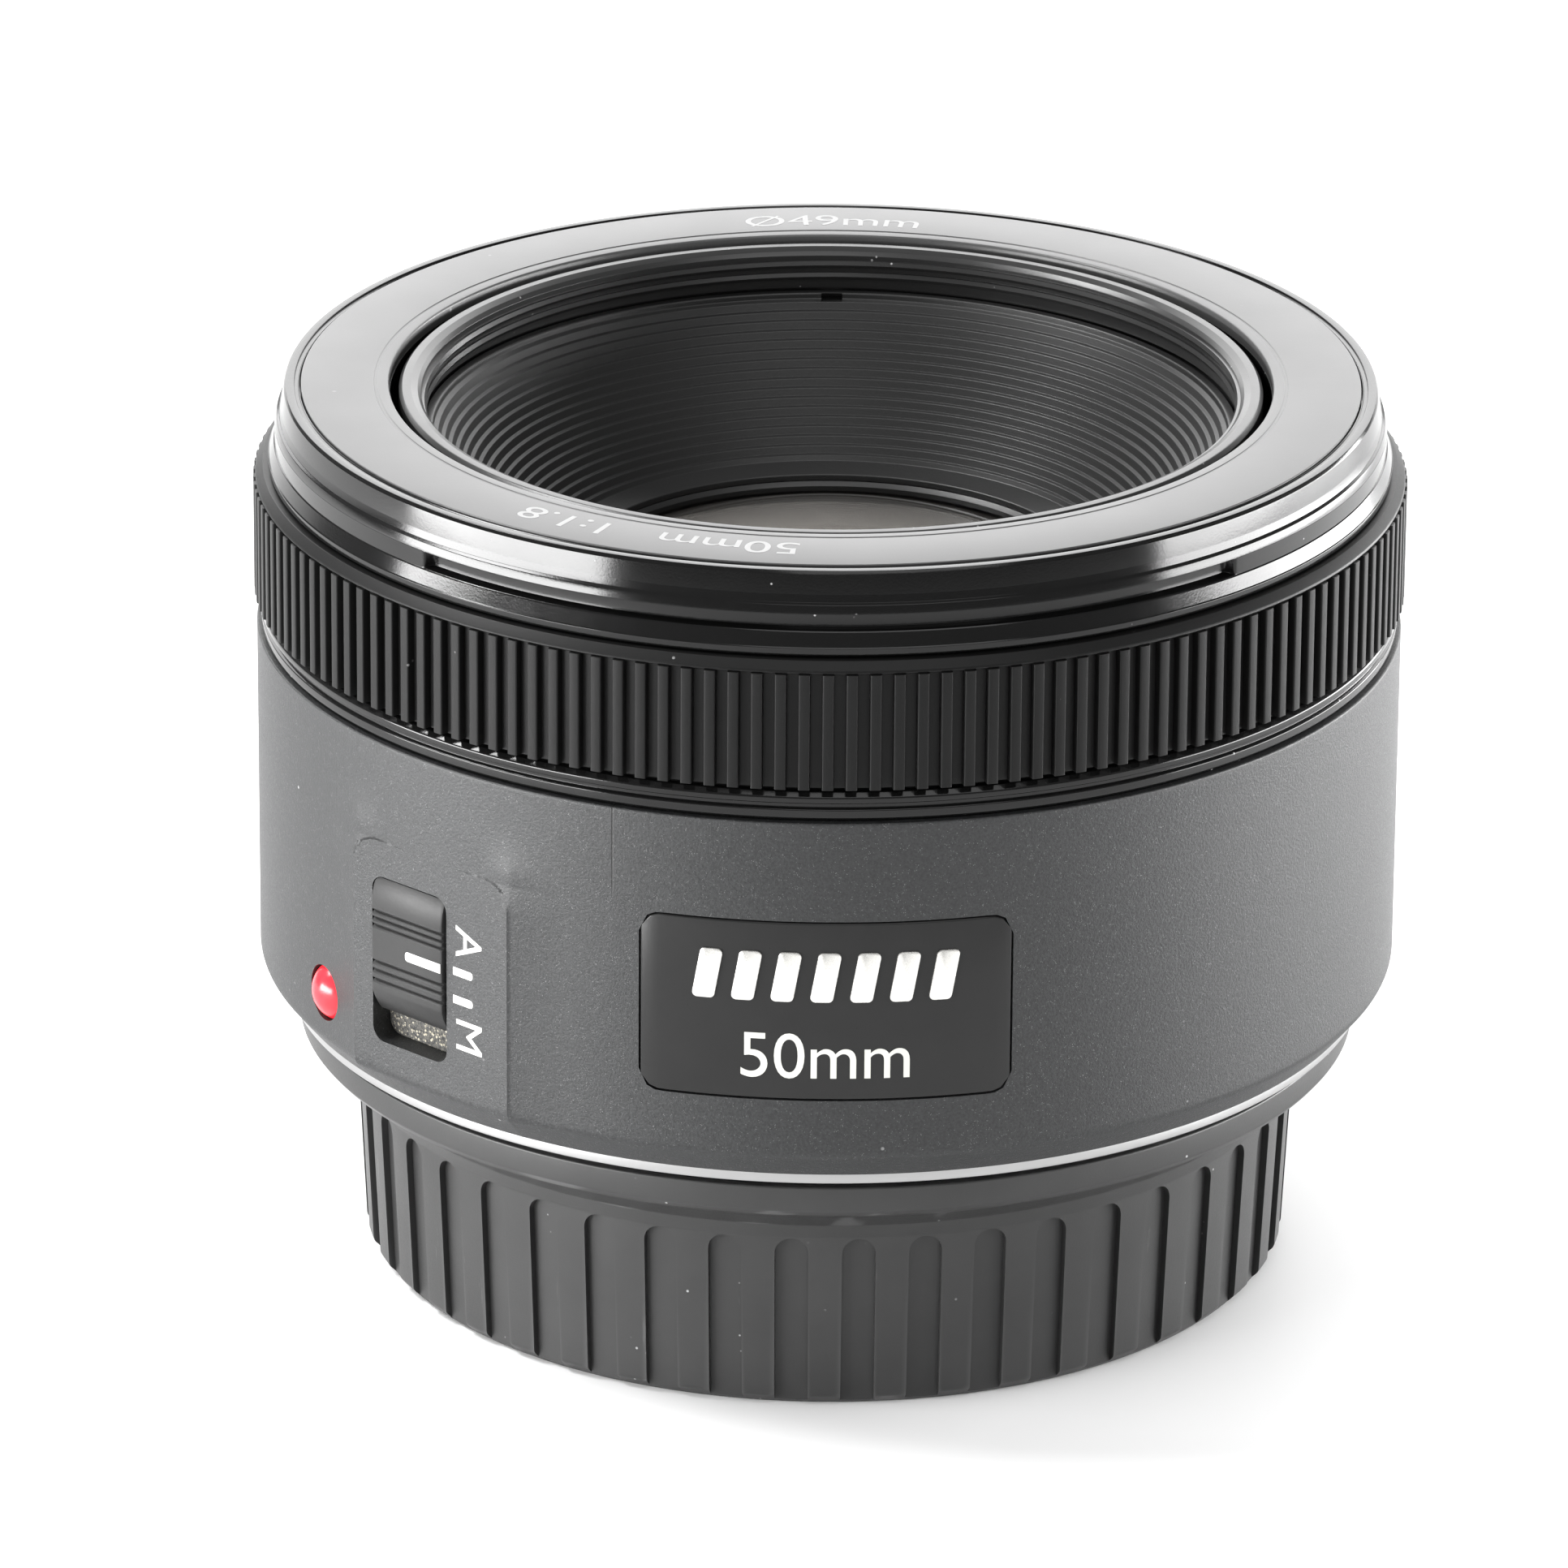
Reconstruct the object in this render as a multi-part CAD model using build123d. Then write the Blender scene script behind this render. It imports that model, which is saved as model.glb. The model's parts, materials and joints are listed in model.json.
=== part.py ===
# A 50 mm autofocus prime lens with its rear cap, standing on the cap with the front glass up.
# Millimetres. The origin is the centre of the cap's base and +Z is the optical axis, towards the front.
# The maker's badge faces -Y. Directions round the barrel are degrees from +X towards +Y.
import os
from math import acos, cos, degrees, pi, radians, sin, sqrt, tan

from build123d import *

# heights, stacked from the cap's base up to the front rim
MOUNT_FACE_Z = 15.4
MOUNT_STEP = 1.09
BAND_THICK = 0.67
BARREL_HEIGHT = 22.64
TRIM_HEIGHT = 1.8
TRIM_GAP = 0.3
GRIP_HEIGHT = 7.8
FRONT_GAP = 0.1
FRONT_HEIGHT = 4.85

# radii of the outside
BARREL_R = 34.45
BARREL_WALL = 1.5
BASE_CHAMFER = 1.45
TRIM_INSET = 0.2
TRIM_WALL = 0.95
GRIP_PROUD = 0.15
RIB_DEPTH = 0.5
RIB_COUNT = 158
RIB_SHARE = 0.5
FRONT_INSET = 0.75
FRONT_TAPER = 1.12
FRONT_RIM = 0.88
NAME_THICK = 0.8
THROAT_GAP = 0.55
HOOD_GROOVE_Z = 1.45
HOOD_GROOVE_WIDTH = 0.95
HOOD_GROOVE_DEPTH = 1.1
HOOD_GROOVE_ARC = 89.6

# clearances
RUN = 0.1
LOOSE = 0.3
SEAT = 0.05

# bayonet mount
BAND_R = 32.8
STEP_R = 31.2
SPIGOT_R = 25.3
SPIGOT_WALL = 1.7
SPIGOT_LENGTH = 5.5
LUG_REACH = 1.6
LUG_THICK = 1.5
LUG_ARC = 58
LUG_COUNT = 3
MOUNT_SCREW_R = 28.3
MOUNT_SCREW_ANGLES = (20, 110, 200, 290)
SCREW_SHANK_R = 0.8
SCREW_HEAD_R = 1.5
SCREW_HEAD_THICK = 0.8
SCREW_SLOT = 0.35
SMALL_HEAD_R = 0.9
SMALL_SHANK_R = 0.45

# rear cap
CAP_R = 28.6
CAP_DRAFT = 0.5
CAP_FLOOR = 1.8
CAP_RIM_R = 32.1
CAP_LIP = 0.55
CAP_RIM_HEIGHT = 1.0
CAP_COLLAR = 3.3
CAP_LUG_ARC = 50
FLUTE_COUNT = 45
FLUTE_WIDTH = 2.0
FLUTE_DEPTH = 0.45
FLUTE_PHASE = 2.2

# floor and bosses of the barrel, board and contacts
FLOOR_THICK = 1.3
FLOOR_BORE_R = 27.4
BOSS_R = 1.8
BOARD_LIFT = 1.74
BOARD_THICK = 0.8
BOARD_INSET = 4.4
BAFFLE_PLATE_THICK = 0.45
BAFFLE_BORE_R = 13.6
BAFFLE_DROP = 1.56
CONTACT_ANGLE = 30
CONTACT_COUNT = 7
CONTACT_STEP = 6.2
CONTACT_PIN_R = 0.55
CONTACT_BLOCK_WALL = 3.55
CHIP_R = 24.0
CHIPS = ((150, 5.0), (172, 3.4), (236, 4.2), (262, 3.0), (310, 4.6), (336, 2.6))
CHIP_THICK = 1.0

# focusing: the optical block slides on straight guides, driven by a helical cam ring
FOCUS_TRAVEL = 10.5
CAM_TURN = 80
FOLLOWER_R = 1.0
FOLLOWER_LIFT = 15.1
FOLLOWER_ANGLES = (0, 120, 240)
GUIDE_GAP = 0.35
GUIDE_WALL = 0.75
FLANGE_DROP = 2.1
FLANGE_THICK = 1.0
CAM_WALL = 1.45
SLEEVE_GAP = 1.45
SLEEVE_WALL = 1.2
SLEEVE_FOOT = 1.8
SLEEVE_FOOT_THICK = 1.4
LEDGE_THICK = 1.2
GUIDE_SCREW_ANGLES = (60, 180, 300)

# gear train
RING_MODULE = 0.4
RING_TEETH = 132
IDLER_TEETH = 12
WHEEL_MODULE = 0.3
WHEEL_TEETH = 36
PINION_TEETH = 10
GEAR_ANGLE = 60
GEAR_FACE = 1.6
WHEEL_FACE = 0.8
BACKLASH = 0.05
PRESSURE = radians(20)
SHAFT_R = 0.6
PLATE_LIFT = 4.44
PLATE_THICK = 1.0
PLATE_BORE_R = 19.6
PLATE_PAD_ANGLES = (160, 240, 330)
MOTOR_R = 3.7
MOTOR_HEIGHT = 3.8
MOTOR_NOSE_R = 0.95
MOTOR_AXIS_R = 21.0
SENSOR_ANGLE = 40
SENSOR_SIZE = (1.0, 4.0, 2.5)

# inner barrel that carries the optics; heights of the optics are from the mount's face
INNER_WALL = 1.25
INNER_BASE = 12.8
INNER_SHELF = 21.8
SHELF_WIDTH = 2.0
SHELF_THICK = 1.0
INNER_SINK = 0.25
FILTER_R = 24.5
FILTER_LENGTH = 2.2
FILTER_LEAD = 0.3
FILTER_GROOVE = 0.25
CELL_SCREW_ANGLES = (30, 150, 270)
BAFFLE_STEPS = 16
BAFFLE_TOP_R = 23.5
BAFFLE_FOOT_R = 17.0
BAFFLE_FOOT = 28.2
BAFFLE_MOUTH_R = 15.2
BAFFLE_SEAT = 27.2
STEP_SHARE = 0.35
RETAINER_R = 16.8

# iris
BLADE_COUNT = 7
BLADE_LIFT = 12.15
BLADE_THICK = 0.12
BLADE_PITCH = 0.17
IRIS_R = 10.3
BLADE_INNER_R = 10.5
BLADE_OUTER_R = 14.6
BLADE_ARC = 140
BLADE_START = 20
PIVOT_R = 15.9
PIVOT_PIN_R = 0.45
DRIVE_ARM = 2.4
IRIS_TURN = 4.25
BLADE_TURN = 34
IRIS_RING_THICK = 0.6
IRIS_RING_R = 19.3
IRIS_TEETH = 132
HOUSING_R = 20.3
HOUSING_FLOOR = 0.6
IRIS_MOTOR_ANGLE = 180
IRIS_MOTOR_R = 2.9
IRIS_MOTOR_HEIGHT = 5.6

# switch panel, a flat facet on the side of the barrel; heights are from the barrel's base
PANEL_ANGLE = -132.3
PANEL_SINK = 0.15
PANEL_HALF = 6.3
PANEL_MARGIN = 2.2
PANEL_CORNER = 1.8
WINDOW_LOW, WINDOW_HIGH = -4.92, 1.15
WINDOW_BASE = 3.8
WINDOW_LENGTH = 10.5
WINDOW_WALL = 1.45
WINDOW_CORNER = 0.9
KNOB_LENGTH = 8.5
KNOB_PROUD = 0.3
KNOB_GROOVE = 0.3
SWITCH_TRAVEL = 1.7
STEM_HALF, STEM_HEIGHT = 0.7, 2.0
RETAINER_HALF = 3.1
FELT_THICK = 0.4

# badge and index dot; heights are from the barrel's base
BADGE_HALF = 11.0
BADGE_BASE = 5.34
BADGE_HEIGHT = 11.15
BADGE_CORNER = 1.2
BADGE_THICK = 0.55
DOT_ANGLE = -150
DOT_LIFT = 4.64
DOT_R = 1.65
DOT_GAP = 0.1
DOT_STEM = 1.9
DOT_DOME = 0.9

# heights that follow
BARREL_BASE_Z = MOUNT_FACE_Z + MOUNT_STEP + BAND_THICK
BARREL_TOP_Z = BARREL_BASE_Z + BARREL_HEIGHT
TRIM_TOP_Z = BARREL_TOP_Z + TRIM_HEIGHT
GRIP_BASE_Z = TRIM_TOP_Z + TRIM_GAP
GRIP_TOP_Z = GRIP_BASE_Z + GRIP_HEIGHT
FRONT_BASE_Z = GRIP_TOP_Z + FRONT_GAP
FRONT_TOP_Z = FRONT_BASE_Z + FRONT_HEIGHT
SLEEVE_TOP_Z = GRIP_TOP_Z - RUN
FLANGE_Z = GRIP_TOP_Z - FLANGE_DROP
LEDGE_Z = FLANGE_Z - LEDGE_THICK
INNER_TOP_Z = FRONT_TOP_Z - INNER_SINK
FILTER_BASE_Z = INNER_TOP_Z - FILTER_LEAD - FILTER_LENGTH
PLATE_Z = BARREL_BASE_Z + PLATE_LIFT
BOARD_Z = BARREL_BASE_Z + BOARD_LIFT
GEAR_Z = PLATE_Z + PLATE_THICK + 2 * RUN
CAM_BASE_Z = GEAR_Z + WHEEL_FACE + 4 * RUN
GUIDE_BASE_Z = CAM_BASE_Z + GEAR_FACE + 2 * LOOSE
FOLLOWER_Z = MOUNT_FACE_Z + FOLLOWER_LIFT
BLADE_Z = MOUNT_FACE_Z + BLADE_LIFT
HOUSING_Z = BLADE_Z - SEAT - HOUSING_FLOOR
IRIS_RING_Z = BLADE_Z + (BLADE_COUNT - 1) * BLADE_PITCH + BLADE_THICK + RUN + 0.01
IRIS_TOP_Z = IRIS_RING_Z + IRIS_RING_THICK + 2 * RUN
CELL_Z = MOUNT_FACE_Z + INNER_SHELF + SHELF_THICK
PANEL_TOP_Z = BARREL_BASE_Z + WINDOW_BASE + WINDOW_LENGTH + PANEL_MARGIN
WINDOW_BASE_Z = BARREL_BASE_Z + WINDOW_BASE
WINDOW_TOP_Z = WINDOW_BASE_Z + WINDOW_LENGTH
BADGE_BASE_Z = BARREL_BASE_Z + BADGE_BASE
BADGE_TOP_Z = BADGE_BASE_Z + BADGE_HEIGHT
DOT_Z = BARREL_BASE_Z + DOT_LIFT
CAP_RIM_Z = MOUNT_FACE_Z - CAP_RIM_HEIGHT
CAP_SHOULDER_Z = CAP_RIM_Z - CAP_COLLAR

# radii that follow, from the outside in and from the filter thread out
BORE_R = BARREL_R - BARREL_WALL
TRIM_R = BARREL_R - TRIM_INSET
GRIP_R = BARREL_R + GRIP_PROUD
FRONT_R = BARREL_R - FRONT_INSET
NAME_R = FRONT_R - FRONT_TAPER - FRONT_RIM
SLEEVE_R = BORE_R - SLEEVE_GAP
SLEEVE_BORE_R = SLEEVE_R - SLEEVE_WALL
INNER_BORE_R = FILTER_R + RUN
INNER_R = INNER_BORE_R + INNER_WALL
THROAT_R = INNER_R + THROAT_GAP
GUIDE_BORE_R = INNER_R + GUIDE_GAP
CAM_BORE_R = GUIDE_BORE_R + GUIDE_WALL + RUN
CAM_R = CAM_BORE_R + CAM_WALL
LEDGE_R = CAM_R + 1.5 * LOOSE
GUIDE_SCREW_R = SLEEVE_BORE_R - 0.7
SPIGOT_BORE_R = SPIGOT_R - SPIGOT_WALL
LUG_R = SPIGOT_R + LUG_REACH
CONTACT_R = SPIGOT_BORE_R - CONTACT_BLOCK_WALL / 2
BOARD_BORE_R = SPIGOT_BORE_R - BOARD_INSET
RING_PITCH_R = RING_MODULE * RING_TEETH / 2
IDLER_AXIS_R = RING_MODULE * (RING_TEETH - IDLER_TEETH) / 2
IRIS_AXIS_R = WHEEL_MODULE * (IRIS_TEETH + PINION_TEETH) / 2
PANEL_DISTANCE = BARREL_R - PANEL_SINK

LOW = (Align.CENTER, Align.CENTER, Align.MIN)


def turned(*points):
    """A solid of revolution about the optical axis, from (radius, height) corners."""
    return revolve(Plane.XZ * make_face(Polyline(*points, close=True)), Axis.Z)


def disc(radius, z_low, z_high):
    return Pos(0, 0, z_low) * Cylinder(radius, z_high - z_low, align=LOW)


def ring(r_out, r_in, z_low, z_high):
    return disc(r_out, z_low, z_high) - disc(r_in, z_low, z_high)


def polar(radius, angle, z=0.0):
    return Rot(0, 0, angle) * Pos(radius, 0, z)


def wedge(radius, z_low, z_high, angle, span):
    """A pie slice centred on an angle, for cutting or keeping part of a ring."""
    start = angle - span / 2
    arc = CenterArc((0, 0), radius, start, span)
    face = make_face([arc, Line((0, 0), arc @ 0), Line(arc @ 1, (0, 0))])
    return extrude(Pos(0, 0, z_low) * face, z_high - z_low)


def arc_ring(r_out, r_in, z_low, z_high, angle, span):
    return ring(r_out, r_in, z_low, z_high) & wedge(2 * r_out, z_low, z_high, angle, span)


def pins(radius, circle_r, angles, z_low, z_high):
    return [polar(circle_r, a, z_low) * Cylinder(radius, z_high - z_low, align=LOW) for a in angles]


def involute(angle):
    return tan(angle) - angle


def tooth_half_angle(radius, pitch_r, teeth):
    slope = acos(min(1.0, pitch_r * cos(PRESSURE) / radius))
    return pi / (2 * teeth) + involute(PRESSURE) - involute(slope)


def spur(module, teeth, face, grow=-BACKLASH, tip=0.8, root=1.1):
    """A spur gear with a tooth centred on +X. A positive grow makes the cutter for an internal gear."""
    pitch_r = module * teeth / 2
    radii = (pitch_r - root * module, pitch_r, pitch_r + tip * module)
    halves = [tooth_half_angle(r, pitch_r, teeth) + grow / r for r in radii]
    outline = []
    for tooth in range(teeth):
        middle = 2 * pi * tooth / teeth
        rising = [(r, middle - half) for r, half in zip(radii, halves)]
        falling = [(r, middle + half) for r, half in zip(radii, halves)]
        outline += [(r * cos(a), r * sin(a)) for r, a in rising + falling[::-1]]
    return extrude(make_face(Polyline(*outline, close=True)), face)


def drop(radius, bend):
    """How far a spherical surface falls from its middle to a radius; negative when it rises."""
    return (1 if bend > 0 else -1) * (abs(bend) - sqrt(bend * bend - radius * radius))


def glass(radius, front_z, front_bend, back_z, back_bend, front_clear=None, back_clear=None):
    """A lens element: each face has its middle height, its radius of curvature and its polished radius."""
    front_r, back_r = front_clear or radius, back_clear or radius
    front = [(r, front_z - drop(r, front_bend)) for r in (0, front_r / 2, front_r)]
    back = [(r, back_z - drop(r, back_bend)) for r in (0, back_r / 2, back_r)]
    rim = [front[2], (radius, front[2][1]), (radius, back[2][1]), back[2]]
    edge = [a for i, a in enumerate(rim) if i == 0 or a != rim[i - 1]]
    outline = [ThreePointArc(*front), Polyline(*edge), ThreePointArc(*back), Line(back[0], front[0])]
    return revolve(Plane.XZ * make_face(outline), Axis.Z)


# outer barrel

PANEL = Plane((0, 0, 0), x_dir=(-sin(radians(PANEL_ANGLE)), cos(radians(PANEL_ANGLE)), 0),
              z_dir=(cos(radians(PANEL_ANGLE)), sin(radians(PANEL_ANGLE)), 0))


def panel_block(left, right, base_z, top_z, near, far, corner=0.0):
    """A block on the switch panel: across, up, and from one distance off the axis to another."""
    sketch = Rectangle(right - left, top_z - base_z)
    if corner:
        sketch = fillet(sketch.vertices(), corner)
    place = Location(((left + right) / 2, (base_z + top_z) / 2, near))
    return PANEL * place * extrude(sketch, far - near)


def badge_block(gap, deep):
    """The badge's rounded rectangle, wrapped on the barrel between two radii."""
    width = 2 * (BADGE_HALF + gap)
    height = BADGE_HEIGHT + 2 * gap
    sketch = fillet(Rectangle(width, height).vertices(), BADGE_CORNER + gap)
    middle = (BADGE_BASE_Z + BADGE_TOP_Z) / 2
    prism = extrude(Plane.XZ * Pos(0, middle) * sketch, 2 * BARREL_R)
    return prism & ring(BARREL_R, BARREL_R - deep, BADGE_BASE_Z - 1, BADGE_TOP_Z + 1)


def switch_facet():
    """The panel's flat, which stands out of the round wall at its two sides."""
    corner_r = BARREL_R - BASE_CHAMFER
    slope = 1 + LOOSE
    facet = panel_block(-PANEL_HALF, PANEL_HALF, BARREL_BASE_Z, PANEL_TOP_Z, BORE_R - 4, PANEL_DISTANCE)
    facet = fillet(facet.edges().filter_by(Axis((0, 0, 0), PANEL.z_dir)).sort_by(Axis.Z)[-2:], PANEL_CORNER)
    cone = turned((0, BARREL_BASE_Z), (corner_r, BARREL_BASE_Z),
                  (BARREL_R + 1, BARREL_BASE_Z + BASE_CHAMFER + slope), (BARREL_R + 1, BARREL_TOP_Z),
                  (0, BARREL_TOP_Z))
    return (facet & cone) - disc(BORE_R, BARREL_BASE_Z + FLOOR_THICK, BARREL_TOP_Z)


def rear_barrel():
    floor_z = BARREL_BASE_Z + FLOOR_THICK
    shell = turned((FLOOR_BORE_R, BARREL_BASE_Z), (BARREL_R - BASE_CHAMFER, BARREL_BASE_Z),
                   (BARREL_R, BARREL_BASE_Z + BASE_CHAMFER + 0.25), (BARREL_R, BARREL_TOP_Z),
                   (BORE_R, BARREL_TOP_Z), (BORE_R, floor_z), (FLOOR_BORE_R, floor_z))
    shell -= panel_block(-PANEL_HALF, PANEL_HALF, BARREL_BASE_Z - 1, PANEL_TOP_Z, PANEL_DISTANCE, BARREL_R + 1)
    shell += switch_facet()
    shell += pins(BOSS_R, MOUNT_SCREW_R, MOUNT_SCREW_ANGLES, floor_z - SEAT, PLATE_Z)
    margin = 1.5
    shell -= panel_block(WINDOW_LOW - 2.2, WINDOW_HIGH + 2.0, WINDOW_BASE_Z - margin, WINDOW_TOP_Z + margin,
                         BORE_R - 4, PANEL_DISTANCE - WINDOW_WALL)
    shell -= panel_block(WINDOW_LOW, WINDOW_HIGH, WINDOW_BASE_Z, WINDOW_TOP_Z, BORE_R - 4,
                         PANEL_DISTANCE + 2, WINDOW_CORNER)
    shell -= badge_block(SEAT, BADGE_THICK + SEAT)
    shell -= dot_bore(DOT_R + DOT_GAP)
    return shell - pins(SCREW_SHANK_R, MOUNT_SCREW_R, MOUNT_SCREW_ANGLES, MOUNT_FACE_Z, PLATE_Z + 1)


def dot_place(radius):
    return Rot(0, 0, DOT_ANGLE) * Pos(radius, 0, DOT_Z) * Rot(0, 90, 0)


def dot_bore(radius):
    return dot_place(BORE_R - 1) * Cylinder(radius, BARREL_WALL + 2, align=LOW)


def index_dot():
    button = Cylinder(DOT_R, DOT_STEM, align=LOW)
    crown = Pos(0, 0, DOT_STEM)
    dome = crown * Sphere(DOT_R) & crown * Cylinder(2 * DOT_R, DOT_DOME, align=LOW)
    return dot_place(BARREL_R - DOT_STEM - LOOSE) * (button + dome)


def trim_ring():
    groove_z = (BARREL_TOP_Z + TRIM_TOP_Z) / 2
    inner_r = TRIM_R - TRIM_WALL
    return turned((inner_r, BARREL_TOP_Z), (TRIM_R - 0.1, BARREL_TOP_Z), (TRIM_R, BARREL_TOP_Z + 0.2),
                  (TRIM_R - 0.05, groove_z - 0.2), (TRIM_R - 0.3, groove_z), (TRIM_R - 0.05, groove_z + 0.2),
                  (TRIM_R, TRIM_TOP_Z - 0.5), (TRIM_R - 0.25, TRIM_TOP_Z), (inner_r, TRIM_TOP_Z))


def sensor_block(gap):
    deep, wide, tall = (side + 2 * gap for side in SENSOR_SIZE)
    base_z = BARREL_TOP_Z - SENSOR_SIZE[2] + RUN
    return polar(SLEEVE_R + 0.75, SENSOR_ANGLE, base_z - gap) * Box(deep, wide, tall, align=LOW)


def fixed_sleeve():
    foot_z = BARREL_TOP_Z - SLEEVE_FOOT
    foot_top = foot_z + SLEEVE_FOOT_THICK
    sleeve = turned((SLEEVE_BORE_R, foot_z), (BORE_R, foot_z), (BORE_R, foot_top), (SLEEVE_R, foot_top),
                    (SLEEVE_R, SLEEVE_TOP_Z), (SLEEVE_BORE_R, SLEEVE_TOP_Z), (SLEEVE_BORE_R, FLANGE_Z),
                    (LEDGE_R, FLANGE_Z), (LEDGE_R, LEDGE_Z), (SLEEVE_BORE_R, LEDGE_Z))
    sleeve -= sensor_block(2 * RUN)
    return sleeve - pins(SMALL_SHANK_R + SEAT, GUIDE_SCREW_R, GUIDE_SCREW_ANGLES, LEDGE_Z, FLANGE_Z)


def guide_screws():
    top = FLANGE_Z + FLANGE_THICK
    heads = pins(SMALL_HEAD_R, SLEEVE_BORE_R - SMALL_HEAD_R - 0.15, GUIDE_SCREW_ANGLES, top, top + 0.6)
    shanks = pins(SMALL_SHANK_R, GUIDE_SCREW_R, GUIDE_SCREW_ANGLES, LEDGE_Z + RUN, top)
    return [h + s for h, s in zip(heads, shanks)]


def front_ring():
    seat_z = FRONT_TOP_Z - NAME_THICK
    roof_z = FRONT_BASE_Z + 3.0
    skirt_z = FRONT_BASE_Z + 0.6
    throat_wall = THROAT_R + 0.9
    wall_r = NAME_R + SEAT
    groove_z = FRONT_BASE_Z + HOOD_GROOVE_Z
    groove_top = groove_z + HOOD_GROOVE_WIDTH
    body = turned((SLEEVE_R + SEAT, FRONT_BASE_Z), (FRONT_R, FRONT_BASE_Z),
                  (FRONT_R - 0.4, groove_z - SEAT), (FRONT_R - 0.4, groove_top),
                  (FRONT_R - 0.55, roof_z), (FRONT_R - 0.7, roof_z + SEAT),
                  (FRONT_R - 1, FRONT_TOP_Z - 0.12), (FRONT_R - FRONT_TAPER, FRONT_TOP_Z),
                  (wall_r, FRONT_TOP_Z), (wall_r, seat_z), (THROAT_R, seat_z), (THROAT_R, skirt_z),
                  (throat_wall, skirt_z), (throat_wall, roof_z), (SLEEVE_BORE_R, roof_z),
                  (SLEEVE_BORE_R, SLEEVE_TOP_Z), (SLEEVE_R + SEAT, SLEEVE_TOP_Z))
    for angle in (-90, 90):
        body -= arc_ring(FRONT_R, FRONT_R - HOOD_GROOVE_DEPTH, groove_z, groove_top, angle, HOOD_GROOVE_ARC)
    return body


def name_ring():
    return ring(NAME_R, THROAT_R, FRONT_TOP_Z - NAME_THICK, FRONT_TOP_Z + SEAT)


# mount and electronics

def motor_angle():
    """Where the motor's axis lies, so that its pinion meets the reduction wheel."""
    reach = WHEEL_MODULE * (WHEEL_TEETH + PINION_TEETH) / 2
    across = IDLER_AXIS_R ** 2 + MOTOR_AXIS_R ** 2 - reach ** 2
    return GEAR_ANGLE + degrees(acos(across / (2 * MOTOR_AXIS_R * IDLER_AXIS_R)))


def mount_ring():
    step_z = MOUNT_FACE_Z + MOUNT_STEP
    tip_z = MOUNT_FACE_Z - SPIGOT_LENGTH
    body = turned((SPIGOT_BORE_R, BARREL_BASE_Z), (BAND_R, BARREL_BASE_Z), (BAND_R, step_z), (STEP_R, step_z),
                  (STEP_R, MOUNT_FACE_Z), (SPIGOT_R, MOUNT_FACE_Z), (SPIGOT_R, tip_z), (SPIGOT_BORE_R, tip_z))
    for lug in range(LUG_COUNT):
        body += arc_ring(LUG_R, SPIGOT_R - 0.2, tip_z, tip_z + LUG_THICK, lug * 360 / LUG_COUNT, LUG_ARC)
    body -= pins(SCREW_SHANK_R + SEAT, MOUNT_SCREW_R, MOUNT_SCREW_ANGLES, MOUNT_FACE_Z, BARREL_BASE_Z)
    body -= pins(SCREW_HEAD_R + SEAT, MOUNT_SCREW_R, MOUNT_SCREW_ANGLES, MOUNT_FACE_Z,
                 MOUNT_FACE_Z + SCREW_HEAD_THICK + SEAT)
    return body


def mount_screws():
    shank_length = PLATE_Z - 1 - MOUNT_FACE_Z - SCREW_HEAD_THICK
    bar = Box(1.3 * SCREW_HEAD_R, SCREW_SLOT, SCREW_HEAD_THICK)
    screws = []
    for angle in MOUNT_SCREW_ANGLES:
        head = Cylinder(SCREW_HEAD_R, SCREW_HEAD_THICK, align=LOW)
        head -= [Rot(0, 0, turn) * bar for turn in (-45, 45)]
        shank = Pos(0, 0, SCREW_HEAD_THICK) * Cylinder(SCREW_SHANK_R - SEAT, shank_length, align=LOW)
        screws.append(polar(MOUNT_SCREW_R, angle, MOUNT_FACE_Z + SEAT) * (head + shank))
    return screws


def contact_angles():
    first = CONTACT_ANGLE - CONTACT_STEP * (CONTACT_COUNT - 1) / 2
    return [first + CONTACT_STEP * i for i in range(CONTACT_COUNT)]


def contact_block():
    outer, base_z = SPIGOT_BORE_R - SEAT, MOUNT_FACE_Z - SPIGOT_LENGTH + 1.7
    block = arc_ring(outer, outer - CONTACT_BLOCK_WALL, base_z, BARREL_BASE_Z - SEAT, CONTACT_ANGLE,
                     CONTACT_STEP * CONTACT_COUNT + 2.6)
    return block - pins(CONTACT_PIN_R + SEAT, CONTACT_R, contact_angles(), base_z - 1, BARREL_BASE_Z - 0.6)


def contact_pins():
    base_z = MOUNT_FACE_Z - SPIGOT_LENGTH + 1.3
    return pins(CONTACT_PIN_R, CONTACT_R, contact_angles(), base_z, BARREL_BASE_Z - 0.7)


def rear_baffle():
    top = BARREL_BASE_Z + BAFFLE_PLATE_THICK
    foot_z = BARREL_BASE_Z - BAFFLE_DROP
    neck_r = BAFFLE_BORE_R + 0.8
    rim_r = FLOOR_BORE_R - 2 * RUN
    plate = turned((BAFFLE_BORE_R, foot_z), (neck_r, foot_z), (neck_r, BARREL_BASE_Z), (rim_r, BARREL_BASE_Z),
                   (rim_r, top), (BAFFLE_BORE_R, top))
    flex_r = CONTACT_R + 0.7
    return plate - arc_ring(flex_r + 0.4, flex_r - 0.6, BARREL_BASE_Z - 1, top + 1, CONTACT_ANGLE, 24)


def contact_flex():
    return arc_ring(CONTACT_R + 0.8, CONTACT_R + 0.6, BARREL_BASE_Z - SEAT, BOARD_Z, CONTACT_ANGLE, 20)


def motor_place(z):
    return polar(MOTOR_AXIS_R, motor_angle(), z)


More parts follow.
